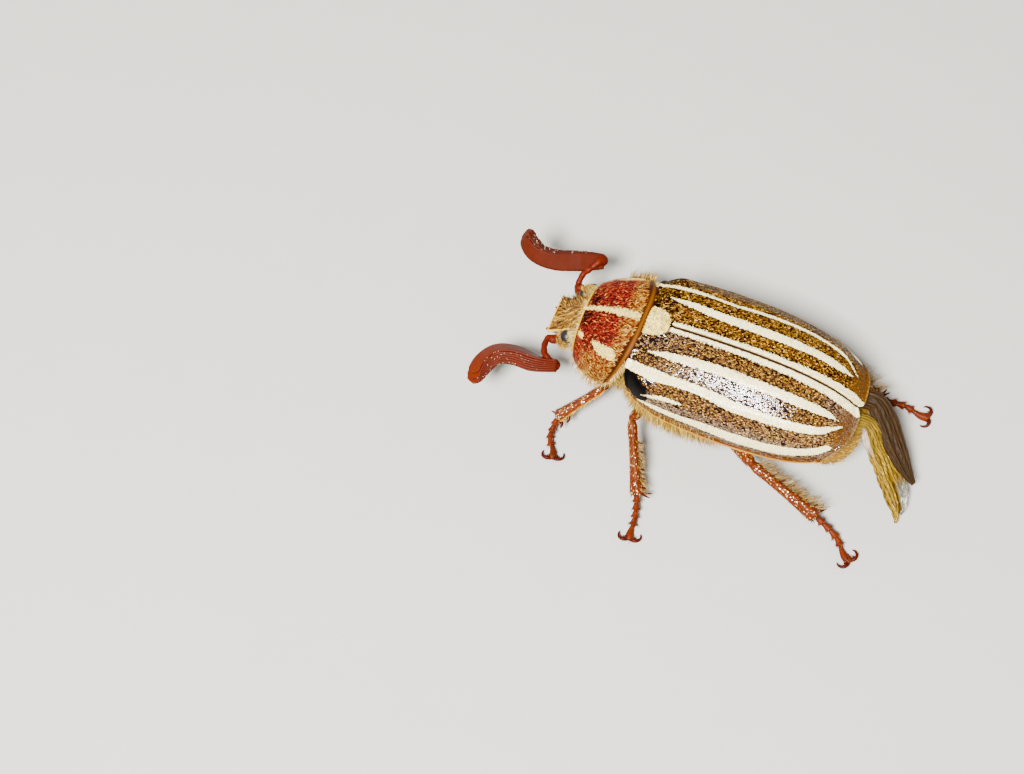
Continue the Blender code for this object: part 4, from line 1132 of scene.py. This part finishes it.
def dress_shield(patch):
    """Short scale-like hairs of the pronotum, red in the middle and golden behind."""
    rng = np.random.default_rng(SHIELD_SEED)

    def hair_chance(u, v):
        cream, band, dark = shield_marks(u, 2 * v - 1)
        keep = (cream < -0.2) & (band < 0.3) & (u > 0.05)
        return np.where(keep, 0.95 - 0.55 * np.clip(dark, 0, 1), 0.0)

    def cream_chance(u, v):
        cream, band, _ = shield_marks(u, 2 * v - 1)
        ragged = cream + rng.normal(0.0, 0.55, len(u))
        return np.where((ragged > 0.25) & (band < 0.5), 1.0, 0.0)

    u, v = patch.spread(52.0, rng, hair_chance)
    across = np.abs(2 * v - 1)
    red = tones(rng, len(u), "shield_red")
    golden = tones(rng, len(u), "shield_golden")
    rear = np.maximum(ramp(u, 0.6, 0.75), ramp(across, 0.6, 0.85) * ramp(u, 0.2, 0.6))
    rear = np.maximum(rear, 0.8 * ramp(across, 0.45, 0.7) * ramp(u, 0.15, 0.35))
    shades = mix(red, golden, np.clip(rear * rng.uniform(0.6, 1.3, len(u)), 0, 1))
    build = Build()
    add_scales(build, patch, u, v, shades, rng, length=0.5, width=0.075, turn_by=0.5, lift=0.14)
    build.make("pronotum_hairs", LOOKS["strand"])

    u, v = patch.spread(240.0, rng, cream_chance)
    shades = tones(rng, len(u), "shield_cream")
    build = Build()
    add_scales(build, patch, u, v, shades, rng, length=0.3, width=0.09, turn_by=0.35, lift=0.1)
    build.make("pronotum_cream", LOOKS["cream"])

    build = Build()
    for edge, count, length, rise in SHIELD_FRINGES:
        u, v, way = fringe_roots(edge, count, rng)
        shades = tones(rng, count, "shield_fringe")
        add_hairs(build, patch, u, v, shades, rng, length, width=0.055, rise=rise, droop=0.1, heading=way)
    build.make("pronotum_fringe", LOOKS["hair"])


def head_patch():
    """The head's surface: dished plate in front with a raised rim, domed crown behind."""
    y, angle = lattice((HEAD[-1][0], HEAD[0][0], 90), (0, FULL_TURN, 121))
    stations = follow(HEAD, y)
    half, top, waist, bottom = (stations[..., k] for k in range(4))
    out, up = rounded(angle, HEAD_SQUARE)
    x = half * out
    above = np.clip(up, 0.0, 1.0)
    plate = ramp(-y, 7.7, 8.1) * above
    edge = np.abs(x) / half
    z = waist + np.where(up > 0, top - waist, waist - bottom) * up
    z = z - 0.32 * plate * np.clip(1.0 - (edge / 0.85) ** 4, 0.0, 1.0) * ramp(9.22 + y, 0.0, 0.35)
    z = z + 0.16 * plate * bump(edge - 0.93, 0.07)
    z = z + 0.22 * above * bump(y + 9.24, 0.08)
    z = z - 0.10 * above * bump(y + 7.72, 0.10) * (1.0 - edge**2)
    return np.stack((x, y, z), axis=-1), up, edge


def build_head():
    """The head with its front plate, ridges and cheeks round the eyes, and mouthparts."""
    rings, up, edge = head_patch()
    front = -rings[..., 1]
    build = Build()
    rim = np.maximum(ramp(edge, 0.9, 0.96), ramp(front, 9.13, 9.2)) * ramp(front, 7.75, 7.9) * (up > 0.1)
    colour = washed(paint(HEAD_BROWN), (HEAD_RIM, rim), (HEAD_UNDER, ramp(-up, 0.0, 0.4)))
    patch = add_tube(build, rings, colour)
    add_bar(build, EYE_RIDGE, (0.1, 0.09, 0.1, 0.13, 0.09), paint(RIDGE_GOLD), count=40)
    cheek = add_bar(build, EYE_CHEEK, (0.22, 0.28, 0.25, 0.18), paint(CHEEK_BROWN), count=30)
    for sign in SIDES.values():
        mirror = np.array((sign, 1.0, 1.0))
        palp = np.array(PALP) * mirror
        add_bar(build, palp[:2], (0.13, 0.2, 0.17), paint(CHESTNUT))
        add_bar(build, palp[1:3], (0.15, 0.2, 0.16), paint(CHESTNUT))
        add_bar(build, palp[2:], (0.14, 0.24, 0.2, 0.08), paint(PALP_TIP))
        add_bar(build, np.array(JAW) * mirror, (0.35, 0.36, 0.14), paint(JAW_BROWN), sides=14)
    flap = add_bar(build, FAR_FLAP, (0.2, 0.3, 0.36, 0.3), paint(CHEEK_BROWN), sides=16, count=30)
    add_bar(build, LIP, (0.2, 0.3, 0.2), paint(LIP_BROWN))
    build.make("head_shell", LOOKS["head"], ("head",))
    return patch, cheek, flap


def dress_head(patch, cheek, flap):
    """Golden strands that fan over the head, cream hairs round the eyes."""
    rng = np.random.default_rng(HEAD_SEED)
    rings, up, edge = head_patch()

    def chance(u, v):
        side = patch.value(edge, u, v)
        front = patch.value(-rings[..., 1], u, v)
        keep = (patch.value(up, u, v) > 0.0) & ~((side > 0.9) & (front > 7.8)) & (front < 9.05)
        return np.where(keep, 1.0, 0.0)

    u, v = patch.spread(34.0, rng, chance)
    spot = patch.at(patch.points, u, v)
    way = towards(spot[:, 0] * 0.9 + 0.35, -1.0, 0.2, len(u))
    shades = tones(rng, len(u), "head")
    pale = ramp(np.abs(spot[:, 0]), 1.6, 2.1) * ramp(spot[:, 1], -7.3, -6.6)
    shades = mix(shades, paint(HEAD_PALE) * rng.uniform(0.8, 1.1, (len(u), 1)), pale)
    build = Build()
    add_scales(build, patch, u, v, shades, rng, length=0.95, width=0.085, turn_by=0.26, lift=0.42,
               heading=way)
    build.make("head_scales", LOOKS["strand"])

    build = Build()
    u = rng.uniform(0.0, 0.62, HEAD_SIDE_HAIRS)
    v = either(rng, HEAD_SIDE_HAIRS, (0.0, 0.06), (0.44, 0.52))
    way = towards(np.where(np.cos(FULL_TURN * v) > 0, 1.0, -1.0), -0.6, 0.1, HEAD_SIDE_HAIRS)
    shades = tones(rng, HEAD_SIDE_HAIRS, "head_side")
    add_hairs(build, patch, u, v, shades, rng, length=0.65, width=0.05, rise=0.7, droop=0.05, heading=way)
    u = rng.uniform(0.0, 0.3, HEAD_CROWN_HAIRS)
    v = either(rng, HEAD_CROWN_HAIRS, (0.0, 0.1), (0.42, 0.5), share=0.75)
    shades = tones(rng, HEAD_CROWN_HAIRS, "head_crown")
    add_hairs(build, patch, u, v, shades, rng, length=0.45, width=0.05, rise=0.6, droop=0.05)
    for surface, length in ((cheek, 0.35), (flap, 0.4)):
        u = rng.uniform(0.1, 0.95, CHEEK_HAIRS)
        v = rng.random(CHEEK_HAIRS)
        shades = tones(rng, CHEEK_HAIRS, "cheek")
        add_hairs(build, surface, u, v, shades, rng, length, width=0.05, rise=0.6, droop=0.05)
    build.make("head_hairs", LOOKS["hair"])


def build_eyes():
    """Faceted eyes."""
    for side, sign in SIDES.items():
        build = Build()
        centre = np.array(EYE_PLACE) * np.array((sign, 1.0, 1.0))
        add_ball(build, centre, (EYE_RADIUS, EYE_RADIUS, EYE_RADIUS), paint(EYE_DARK), sides=64)
        build.make("eye_globe_" + side, LOOKS["eye"], ("eye_" + side,))


def body_rings():
    """The skin of the body under the shells, its rings stepped like overlapping plates."""
    y, angle = lattice((BODY_HALF[0][0], BODY_HALF[-1][0], 200), (0, FULL_TURN, 97))
    out, up = rounded(angle, UNDER_SQUARE)
    waist = follow(BODY_WAIST, y)
    reach = np.where(up > 0, follow(BODY_TOP, y) - waist, waist - follow(BELLY, y))
    swell = np.ones_like(y)
    for place in RINGS:
        swell = swell - 0.035 * bump(y - place, 0.16) + 0.012 * bump(y - place + 0.45, 0.35)
    return np.stack((follow(BODY_HALF, y) * out * swell, y, waist + reach * up * swell), axis=-1), up


def build_body():
    """The body's one skin, its pile of hair and the fine hairs of the abdomen."""
    rings, up = body_rings()
    y = rings[..., 1]
    grooves = [(GROOVE_BROWN, bump(y - place, 0.12) * 0.8) for place in RINGS]
    layers = ((ABDOMEN_GROUND, ramp(y, 8.5, 10.0)), *grooves, (TAIL_GROUND, ramp(y, 17.6, 18.6)))
    build = Build()
    patch = add_tube(build, rings, washed(paint(PILE_GROUND), *layers))
    build.make("body_skin", LOOKS["skin"], ("prothorax", "thorax", "abdomen"))
    rng = np.random.default_rng(BODY_SEED)

    def pile_chance(u, v):
        place = patch.value(y, u, v)
        thin = 0.3 + 0.7 * ramp(place, -2.4, -1.2)
        return np.where(patch.value(up, u, v) < 0.5, thin * (1.0 - ramp(place, 8.0, 10.0)), 0.0)

    def fine_chance(u, v):
        place = patch.value(y, u, v)
        shown = (patch.value(up, u, v) < 0.75) | (place > 18.6)
        return np.where(shown, ramp(place, 8.5, 10.0), 0.0)

    u, v = patch.spread(48.0, rng, pile_chance)
    way = towards(np.sign(patch.at(patch.points, u, v)[:, 0]), 0.7, -0.5, len(u))
    shades = tones(rng, len(u), "pile")
    build = Build()
    add_hairs(build, patch, u, v, shades, rng, length=1.05, width=0.055, rise=1.0, droop=0.1, heading=way,
              turn_by=0.35)
    build.make("body_pile", LOOKS["hair"])

    u, v = patch.spread(26.0, rng, fine_chance)
    shades = tones(rng, len(u), "abdomen")
    build = Build()
    add_hairs(build, patch, u, v, shades, rng, length=0.42, width=0.05, rise=0.75, droop=0.05)
    build.make("abdomen_hairs", LOOKS["hair"])


def joint_start(joint, before, after):
    """How far past a joint the next segment starts, further where the leg folds back."""
    straight, folded = {"knee": (0.36, 0.36), "ankle": (0.32, 0.38)}[joint]
    fold = -float(np.dot(before, after)) / float(np.linalg.norm(before) * np.linalg.norm(after))
    return straight + folded * (1.0 + fold)


def add_shin(build, pair, start, end):
    """A ridged shin with its teeth or spines; gives its patch and its spiny side back."""
    along = unit(end - start)
    thin = TIBIA_RADIUS[pair]
    dark = paint(CLAW_BROWN)
    line = straight(start, end, SHIN_RINGS)
    radii = thin * follow(SHIN_SWELL, np.linspace(0.0, 1.0, SHIN_RINGS))
    outward = unit(np.cross(along, UPWARD))
    outward = -outward if outward[1] < 0 else outward
    up = np.cross(outward, along)
    rings = tube_rings(line, radii, 24, ridges=0.06)
    edge = np.sum(unit(rings - line[:, None]) * outward, axis=-1)
    pale = ramp(edge, 0.88, 0.98) * (pair == "fore")
    shin = add_tube(build, rings, mix(paint(CHESTNUT), paint(SHIN_EDGE), pale))
    if pair == "fore":
        for share, reach in FORE_TEETH:
            base = start + (end - start) * share
            middle = base + outward * (thin + 0.5 * reach)
            tip = base + outward * (thin + reach) + along * 0.35
            add_bar(build, [base, middle, tip], (0.3, 0.2, 0.06), dark, flat=0.7)
    else:
        for share in SPINE_ROWS:
            base = start + (end - start) * share
            for way in (-0.6, 0.6):
                tip = base + (outward + up * way) * (thin + 0.32) + along * 0.3
                add_bar(build, [base + outward * 0.2, tip], (0.13, 0.03), dark, sides=8)
        for turn in np.arange(END_SPINES) * FULL_TURN / END_SPINES:
            ray = outward * math.cos(turn) + up * math.sin(turn)
            base = end + ray * thin - along * 0.1
            add_bar(build, [base, base + along * 0.3 + ray * 0.1], (0.06, 0.02), dark, sides=6)
    for out, ahead, rise in SPURS[pair]:
        base = end - along * 0.25 + outward * math.copysign(0.5 * thin, out)
        tip = base + outward * out + along * ahead + up * rise
        add_bar(build, [base, (base + tip) / 2 + along * 0.08, tip], (0.15, 0.11, 0.035), dark)
    return shin, outward


def add_foot(build, hairs, name, ankle, shin_way, tip, rng):
    """Five joints from the shin's end to the floor, and two curled claws."""
    ahead = unit(tip - ankle)
    first = ankle + ahead * (joint_start("ankle", shin_way, ahead) - 0.4)
    flat = tip - first
    middle = first + flat * np.array((0.5, 0.5, 0.72)) + np.array((*FOOT_BOW[name], 0.0))
    low = first + flat * np.array((0.82, 0.82, 0.99))
    places = route((first, middle, low, tip), FOOT_CUTS[-1] + 1)
    for start, end in zip(FOOT_CUTS, FOOT_CUTS[1:]):
        part = places[start:end + 1]
        shape = LAST_FOOT_SWELL if end == FOOT_CUTS[-1] else FOOT_SWELL
        radii = FOOT_RADIUS * follow(shape, np.linspace(0.0, 1.0, len(part)))
        ring = tube_rings(part, radii, 14)
        ring[..., 2] = np.maximum(ring[..., 2], FOOT_FLAT)
        patch = add_tube(build, ring, paint(FOOT_BROWN))
        u = rng.uniform(0.7, 1.0, FOOT_HAIRS)
        v = rng.random(FOOT_HAIRS)
        tint = tones(rng, FOOT_HAIRS, "foot")
        add_hairs(hairs, patch, u, v, tint, rng, length=0.32, width=0.05, rise=0.5)
    along = unit((places[-1] - places[-3]) * np.array((1.0, 1.0, 0.0)))
    across = np.cross(UPWARD, along)
    for way in (-1.0, 1.0):
        claw = []
        for share, out, rise in CLAW_BEND:
            step = (along * share + across * way * out) * CLAW_LENGTH
            claw.append(places[-1] - along * 0.15 + step + (0, 0, rise))
        add_bar(build, claw, CLAW_RADII, paint(CLAW_BROWN), sides=10, count=24)
        add_bar(build, [claw[1], claw[1] - along * CLAW_TOOTH], (0.13, 0.04), paint(CLAW_BROWN), sides=8)


def build_leg(name, rng):
    """One whole leg with its hairs: hip, thigh, shin, foot and claws."""
    pair = name.split("_")[0]
    root, knee, ankle, tip = (np.array(point, dtype=float) for point in LEGS[name])
    thick = FEMUR_RADIUS[pair]
    skin = paint(CHESTNUT)
    thigh_way = unit(knee - root)
    shin_way = unit(ankle - knee)
    build = Build()
    hairs = Build()
    hip = root - thigh_way * 0.5 + np.array((0.0, 0.0, 0.35))
    hip_line = [hip - thigh_way * 0.6, hip, root + thigh_way * 0.5]
    add_bar(build, hip_line, (0.8 * thick, 1.25 * thick, 0.9 * thick), skin, 20)
    radii = thick * follow(THIGH_SWELL, np.linspace(0.0, 1.0, THIGH_RINGS))
    thigh = add_tube(build, tube_rings(straight(root, knee, THIGH_RINGS), radii, 22, flat=1.05), skin)
    add_ball(build, knee, (0.42 * thick, 0.42 * thick, 0.42 * thick), skin, 16)
    start = knee + shin_way * (joint_start("knee", knee - root, ankle - knee) - 0.42)
    shin, outward = add_shin(build, pair, start, ankle - shin_way * 0.05)
    add_foot(build, hairs, name, ankle, shin_way, tip, rng)
    build.make("leg_" + name, LOOKS["leg"], ("femur_" + name, "tibia_" + name, "tarsus_" + name))

    flecks = Build()
    for patch in (thigh, shin):
        u, v = patch.spread(18.0, rng)
        tint = tones(rng, len(u), "leg_flecks")
        add_scales(flecks, patch, u, v, tint, rng, length=0.24, width=0.075, turn_by=0.4, lift=0.05)
    flecks.make("leg_scales_" + name, LOOKS["scale_left"], smooth=False)

    for patch, per_mm2, length in ((thigh, 3.5, 0.6), (shin, 4.0, 0.4)):
        u, v = patch.spread(per_mm2, rng)
        tint = tones(rng, len(u), "leg_hairs")
        add_hairs(hairs, patch, u, v, tint, rng, length, width=0.045, rise=0.5, droop=0.05)
    count, length, low, high = SHIN_FRINGE[pair]
    u = rng.uniform(low, high, count)
    lane = 0.06 if np.dot(np.cross(shin_way, UPWARD), outward) > 0 else 0.44
    v = rng.normal(lane, 0.05, count) % 1.0
    way = np.tile(shin_way + outward * 0.3, (count, 1))
    tint = tones(rng, count, "shin_fringe")
    add_hairs(hairs, shin, u, v, tint, rng, length, width=0.055, rise=1.0, heading=way)
    hairs.make("leg_hairs_" + name, LOOKS["hair"])


def build_stalk(side):
    """The jointed stalk of a feeler, with the round cap that carries the club."""
    build = Build()
    skin = paint(STALK_BROWN)
    joints = [np.array(joint) for joint in STALKS[side]]
    add_bar(build, joints, STALK_RADII, skin, sides=20, count=110)
    add_ball(build, SCAPE_BALLS[side], SCAPE_SIZE, skin, 24)
    cap = 0.7 * joints[-1] + 0.3 * np.array(CLUBS[side][0])
    add_ball(build, cap, (CLUB_CAP, CLUB_CAP, CLUB_CAP), skin, 28)
    build.make("stalk_" + side, LOOKS["leg"], ("antenna_" + side,))


def build_club(side, rng):
    """A club of seven long leaves, lying together."""
    build = Build()
    hairs = Build()
    places = route(CLUBS[side], CLUB_RINGS)
    lean = np.radians(np.linspace(*CLUB_LEAN[side], CLUB_RINGS))[:, None]
    ahead = unit(np.gradient(places, axis=0))
    sideways = unit(np.cross(ahead, UPWARD)) * -SIDES[side]
    upward = np.cross(sideways, ahead)
    stack = np.cos(lean) * sideways + np.sin(lean) * upward
    breadth = -np.sin(lean) * sideways + np.cos(lean) * upward
    share = np.linspace(0.0, 1.0, CLUB_RINGS)
    swell = 0.62 + 0.38 * np.sin(math.pi * np.minimum(share * 1.25 + 0.12, 0.5)) - 0.2 * share**3
    tip = np.sqrt(np.clip((1.0 - share) * 24.0, 0.002, 1.0))
    squeeze = (0.72 + 0.28 * np.minimum(1.0, 4.0 * share)) * (1 - 0.15 * ramp(share, 0.75, 1.0))
    c, s = rounded(np.linspace(0.0, FULL_TURN, 21), LEAF_SQUARE)
    edge_share = np.abs(s)[None, :] ** 6 * 0.5
    for leaf, reach in enumerate(LEAF_REACHES):
        half = CLUB_HALF_BREADTH * swell * tip * (0.9 if leaf in (0, len(LEAF_REACHES) - 1) else 1.0)
        offset = -CLUB_STACK / 2 + (leaf + 0.5) * (CLUB_STACK / len(LEAF_REACHES))
        count = int(reach * (CLUB_RINGS - 1)) + 1
        out, over, tight = stack[:count], breadth[:count], squeeze[:count]
        places_read = np.linspace(0, CLUB_RINGS - 1, count)
        width = np.interp(places_read, np.arange(CLUB_RINGS), half)
        thick = LEAF_THICK / 2 * np.minimum(tight, 1.0)
        rings = (places[:count] + out * (offset * tight)[:, None])[:, None, :]
        rings = rings + out[:, None, :] * (thick[:, None] * c)[..., None]
        rings = rings + over[:, None, :] * (width[:, None] * s)[..., None]
        # The leaves are painted darker by side: painted shade, strongest on the far club.
        tint = mix(paint(BRICK), paint(LEAF_EDGE), edge_share + 0 * width[:, None]) * CLUB_PAINTED_SHADE[side]
        patch = add_tube(build, rings, tint)
        u = rng.uniform(0.1, 0.99, CLUB_HAIRS)
        v = np.where(rng.random(CLUB_HAIRS) < 0.5, 0.25, 0.75) + rng.normal(0.0, 0.02, CLUB_HAIRS)
        shades = tones(rng, CLUB_HAIRS, "club")
        add_hairs(hairs, patch, u, v, shades, rng, length=0.17, width=0.045, rise=1.0)
    build.make("club_leaves_" + side, LOOKS["club"], ("club_" + side,))
    hairs.make("club_hairs_" + side, LOOKS["hair"])


def wing_patch(side):
    """The sheet of a folded wing tip, pleated, crumpled and notched between its lobes."""
    near = side == "left"
    places = []
    for x, y, z, half in WINGS[side]:
        places.append((x, y, float(case_height(x, y)) - WING_UNDER if z is None else z, half))
    stations = route(places, WING_ROWS)
    centre = stations[:, :3]
    half = stations[:, 3]
    share = np.linspace(0.0, 1.0, WING_ROWS)[:, None]
    v = np.linspace(-1.0, 1.0, WING_COLUMNS)[None, :]
    ahead = unit(np.gradient(centre, axis=0))
    tilt = ramp(share, *WING_OUT)
    across = unit(np.cross(ahead, np.array(WING_TWIST) * tilt + np.array(UPWARD) * (1 - tilt)))
    up = np.cross(across, ahead)
    pleat = WING_PLEAT[side] * np.cos(3.2 * math.pi * v + 1.5 * share)
    crease = 0.07 * np.abs(np.sin(11 * v + 1.1 * np.sin(13 * share + 1.0) + 0.5 * np.sin(41 * share)))
    crease = crease + 0.045 * np.sin(27 * v + 2.2 * np.sin(19 * share)) * np.sin(71 * share + 9 * v)
    crease = crease * WING_CREASE[side]
    veins = 0.0 * share + 0.0 * v
    for place in WING_VEINS:
        veins = veins + bump(v - place - 0.08 * share, 0.03)
    slit = bump(v - WING_SLIT, 0.07) * ramp(share, 0.66, 0.8) * near
    lift = (pleat + crease - 0.22 * v**2 + 0.07 * veins) * np.minimum(half, 1.0)[:, None] - 0.3 * slit
    notch = WING_SLIT_DEPTH * bump(v - WING_SLIT, 0.16) * ramp(share, 0.84, 1.0) * near
    short = WING_LOBE_SHORT * ramp(WING_SLIT - v, 0.0, 0.4) * ramp(share, 0.75, 1.0) * near
    points = centre[:, None, :] + across[:, None, :] * (half[:, None] * v)[..., None]
    points = points + up[:, None, :] * (lift * tilt)[..., None]
    points = points - ahead[:, None, :] * (notch + short)[..., None]
    # Dark lines: the wing's own veins, and the slit between the lobes painted dark as shade.
    return Patch(points, UPWARD), share, v, np.clip(0.5 * veins + slit, 0.0, 1.0), crease


def build_wings():
    """The folded tips of the hind wings."""
    for side in SIDES:
        patch, share, v, veins_and_slit_shade, crease = wing_patch(side)
        if side == "left":
            # The crumples' hollows are painted darker: painted shade in the creases.
            colour = washed(
                paint(WING_GILT),
                (WING_GILT_CREASE_SHADE, ramp(crease, 0.055, 0.0)),
                (WING_SILVER, ramp(share, 0.74, 0.84) * ramp(WING_SLIT - v, 0.0, 0.15)),
                (WING_PALE, ramp(share, 0.36, 0.4) * ramp(0.6 - share, 0.0, 0.1) * ramp(v, 0.5, 0.75)),
            )
        else:
            # The crumples' hollows are painted darker: painted shade in the creases.
            colour = washed(paint(WING_DUSK), (WING_DUSK_CREASE_SHADE, ramp(crease, 0.02, 0.0)))
        build = Build()
        # The veins are the wing's own dark lines; the slit between the lobes is painted shade.
        add_shell(build, patch, WING_THICK, washed(colour, (WING_VEIN_AND_SLIT_SHADE, veins_and_slit_shade)))
        build.make("folded_wing_" + side, LOOKS["wing_" + side], ("hindwing_" + side,))


def camera_axes():
    """The camera's place and its right, up and back directions."""
    azimuth = math.radians(CAMERA_AZIMUTH)
    elevation = math.radians(CAMERA_ELEVATION)
    roll = math.radians(CAMERA_ROLL)
    flat = math.cos(elevation)
    back = np.array((math.sin(azimuth) * flat, -math.cos(azimuth) * flat, math.sin(elevation)))
    level = np.array((math.cos(azimuth), math.sin(azimuth), 0.0))
    steep = np.cross(back, level)
    right = math.cos(roll) * level + math.sin(roll) * steep
    up = -math.sin(roll) * level + math.cos(roll) * steep
    place = np.array(CAMERA_AIM) - right * CAMERA_SLIDE[0] - up * CAMERA_SLIDE[1] + back * CAMERA_DISTANCE
    return place, right, up, back


def build_camera():
    """The camera at the photograph's viewing angle."""
    place, right, up, back = camera_axes()
    data = bpy.data.cameras.new("camera")
    data.lens = CAMERA_LENS
    data.sensor_width = CAMERA_SENSOR
    data.sensor_fit = "HORIZONTAL"
    data.clip_start = 0.005
    data.clip_end = 10.0
    camera = bpy.data.objects.new("camera", data)
    turn = Matrix((right, up, back)).transposed()
    camera.matrix_world = Matrix.Translation(Vector((place - CENTRE) * MM)) @ turn.to_4x4()
    bpy.context.scene.collection.objects.link(camera)
    bpy.context.scene.camera = camera


def add_light(name, place, aim, size, power, colour=(1.0, 1.0, 1.0)):
    """A square area light at a place in the beetle's frame, facing an aim."""
    data = bpy.data.lights.new(name, "AREA")
    data.size = size * MM
    data.energy = power
    data.color = colour
    light = bpy.data.objects.new(name, data)
    place = np.asarray(place, dtype=float)
    way = Vector(np.asarray(aim, dtype=float) - place)
    turn = way.to_track_quat("-Z", "Y").to_matrix().to_4x4()
    light.matrix_world = Matrix.Translation(Vector((place - CENTRE) * MM)) @ turn
    bpy.context.scene.collection.objects.link(light)


def build_studio():
    """Pale floor, soft lights and a pale surround."""
    corners = [(x * FLOOR_HALF, y * FLOOR_HALF, 0.0) for x, y in ((-1, -1), (1, -1), (1, 1), (-1, 1))]
    mesh = bpy.data.meshes.new("floor")
    mesh.from_pydata([tuple((np.array(corner) - CENTRE) * MM) for corner in corners], [], [(0, 1, 2, 3)])
    tints = mesh.attributes.new("tint", "FLOAT_COLOR", "POINT")
    for value in tints.data:
        value.color = (*paint(FLOOR_GREY), 1.0)
    mesh.materials.append(make_look("floor_paper", 0.75, 900.0, 0.02, 0.02, specular=0.2))
    floor = bpy.data.objects.new("floor", mesh)
    bpy.context.scene.collection.objects.link(floor)

    place = camera_axes()[0]
    turn = np.array(HIGHLIGHT_TURN)
    y = np.array(HIGHLIGHT_Y)
    spot = case_point(turn, y)
    normal = unit(np.cross(case_point(turn, y + 0.1) - spot, case_point(turn + 1.0, y) - spot))
    normal = normal if normal[2] > 0 else -normal
    view = unit(place - spot)
    mirror = 2 * np.dot(normal, view) * normal - view
    add_light("key", spot + mirror * KEY_DISTANCE, spot, KEY_SIZE, KEY_POWER)
    for name, setting in FILL_LIGHTS.items():
        add_light(name, *setting)

    world = bpy.data.worlds.new("studio")
    world.use_nodes = True
    surround = world.node_tree.nodes["Background"]
    surround.inputs["Color"].default_value = SURROUND_COLOUR
    surround.inputs["Strength"].default_value = SURROUND_STRENGTH
    bpy.context.scene.world = world


LOOKS = {
    "case": make_look("case_horn", 0.5, 2600.0, 0.02, 0.18, specular=0.04),
    "scale_left": make_look("ochre_scale", 0.2, 5000.0, 0.004, 0.25, coat=0.9, specular=0.5, index=2.0),
    "scale_right": make_look("ochre_scale_matt", 0.4, 5000.0, 0.004, 0.25, specular=0.12),
    "cream": make_look("cream_scale", 0.3, 4000.0, 0.004, 0.12, coat=0.5, specular=0.5, index=1.7),
    "strand": make_look("pronotum_strand", 0.36, 5000.0, 0.004, 0.3, specular=0.35),
    "shield": make_look("pronotum_horn", 0.5, 2200.0, 0.03, 0.3, specular=0.04),
    "head": make_look("head_horn", 0.35, 2600.0, 0.02, 0.25, coat=0.2),
    "eye": make_eye_look(),
    "skin": make_look("underside_skin", 0.45, 1800.0, 0.03, 0.2, coat=0.1),
    "hair": make_look("straw_hair", 0.45, 4000.0, 0.003, 0.15, specular=0.3),
    "leg": make_look("leg_horn", 0.4, 6500.0, 0.06, 0.7, specular=0.08),
    "club": make_look("club_leaf", 0.45, 5200.0, 0.02, 0.3, specular=0.08),
    "wing_left": make_look("wing_gilt", 0.3, 6500.0, 0.08, 0.6, coat=0.2, metal=0.45),
    "wing_right": make_look("wing_dusky", 0.4, 4200.0, 0.03, 0.4, specular=0.25),
}

build_camera()
build_studio()
for case_side in SIDES:
    build_case(case_side)
    dress_case(case_side)
build_scutellum()
dress_shield(build_shield())
dress_head(*build_head())
build_eyes()
build_body()
LEG_RNG = np.random.default_rng(LEG_SEED)
for leg_name in LEGS:
    build_leg(leg_name, LEG_RNG)
CLUB_RNG = np.random.default_rng(CLUB_SEED)
for feeler_side in SIDES:
    build_stalk(feeler_side)
    build_club(feeler_side, CLUB_RNG)
build_wings()
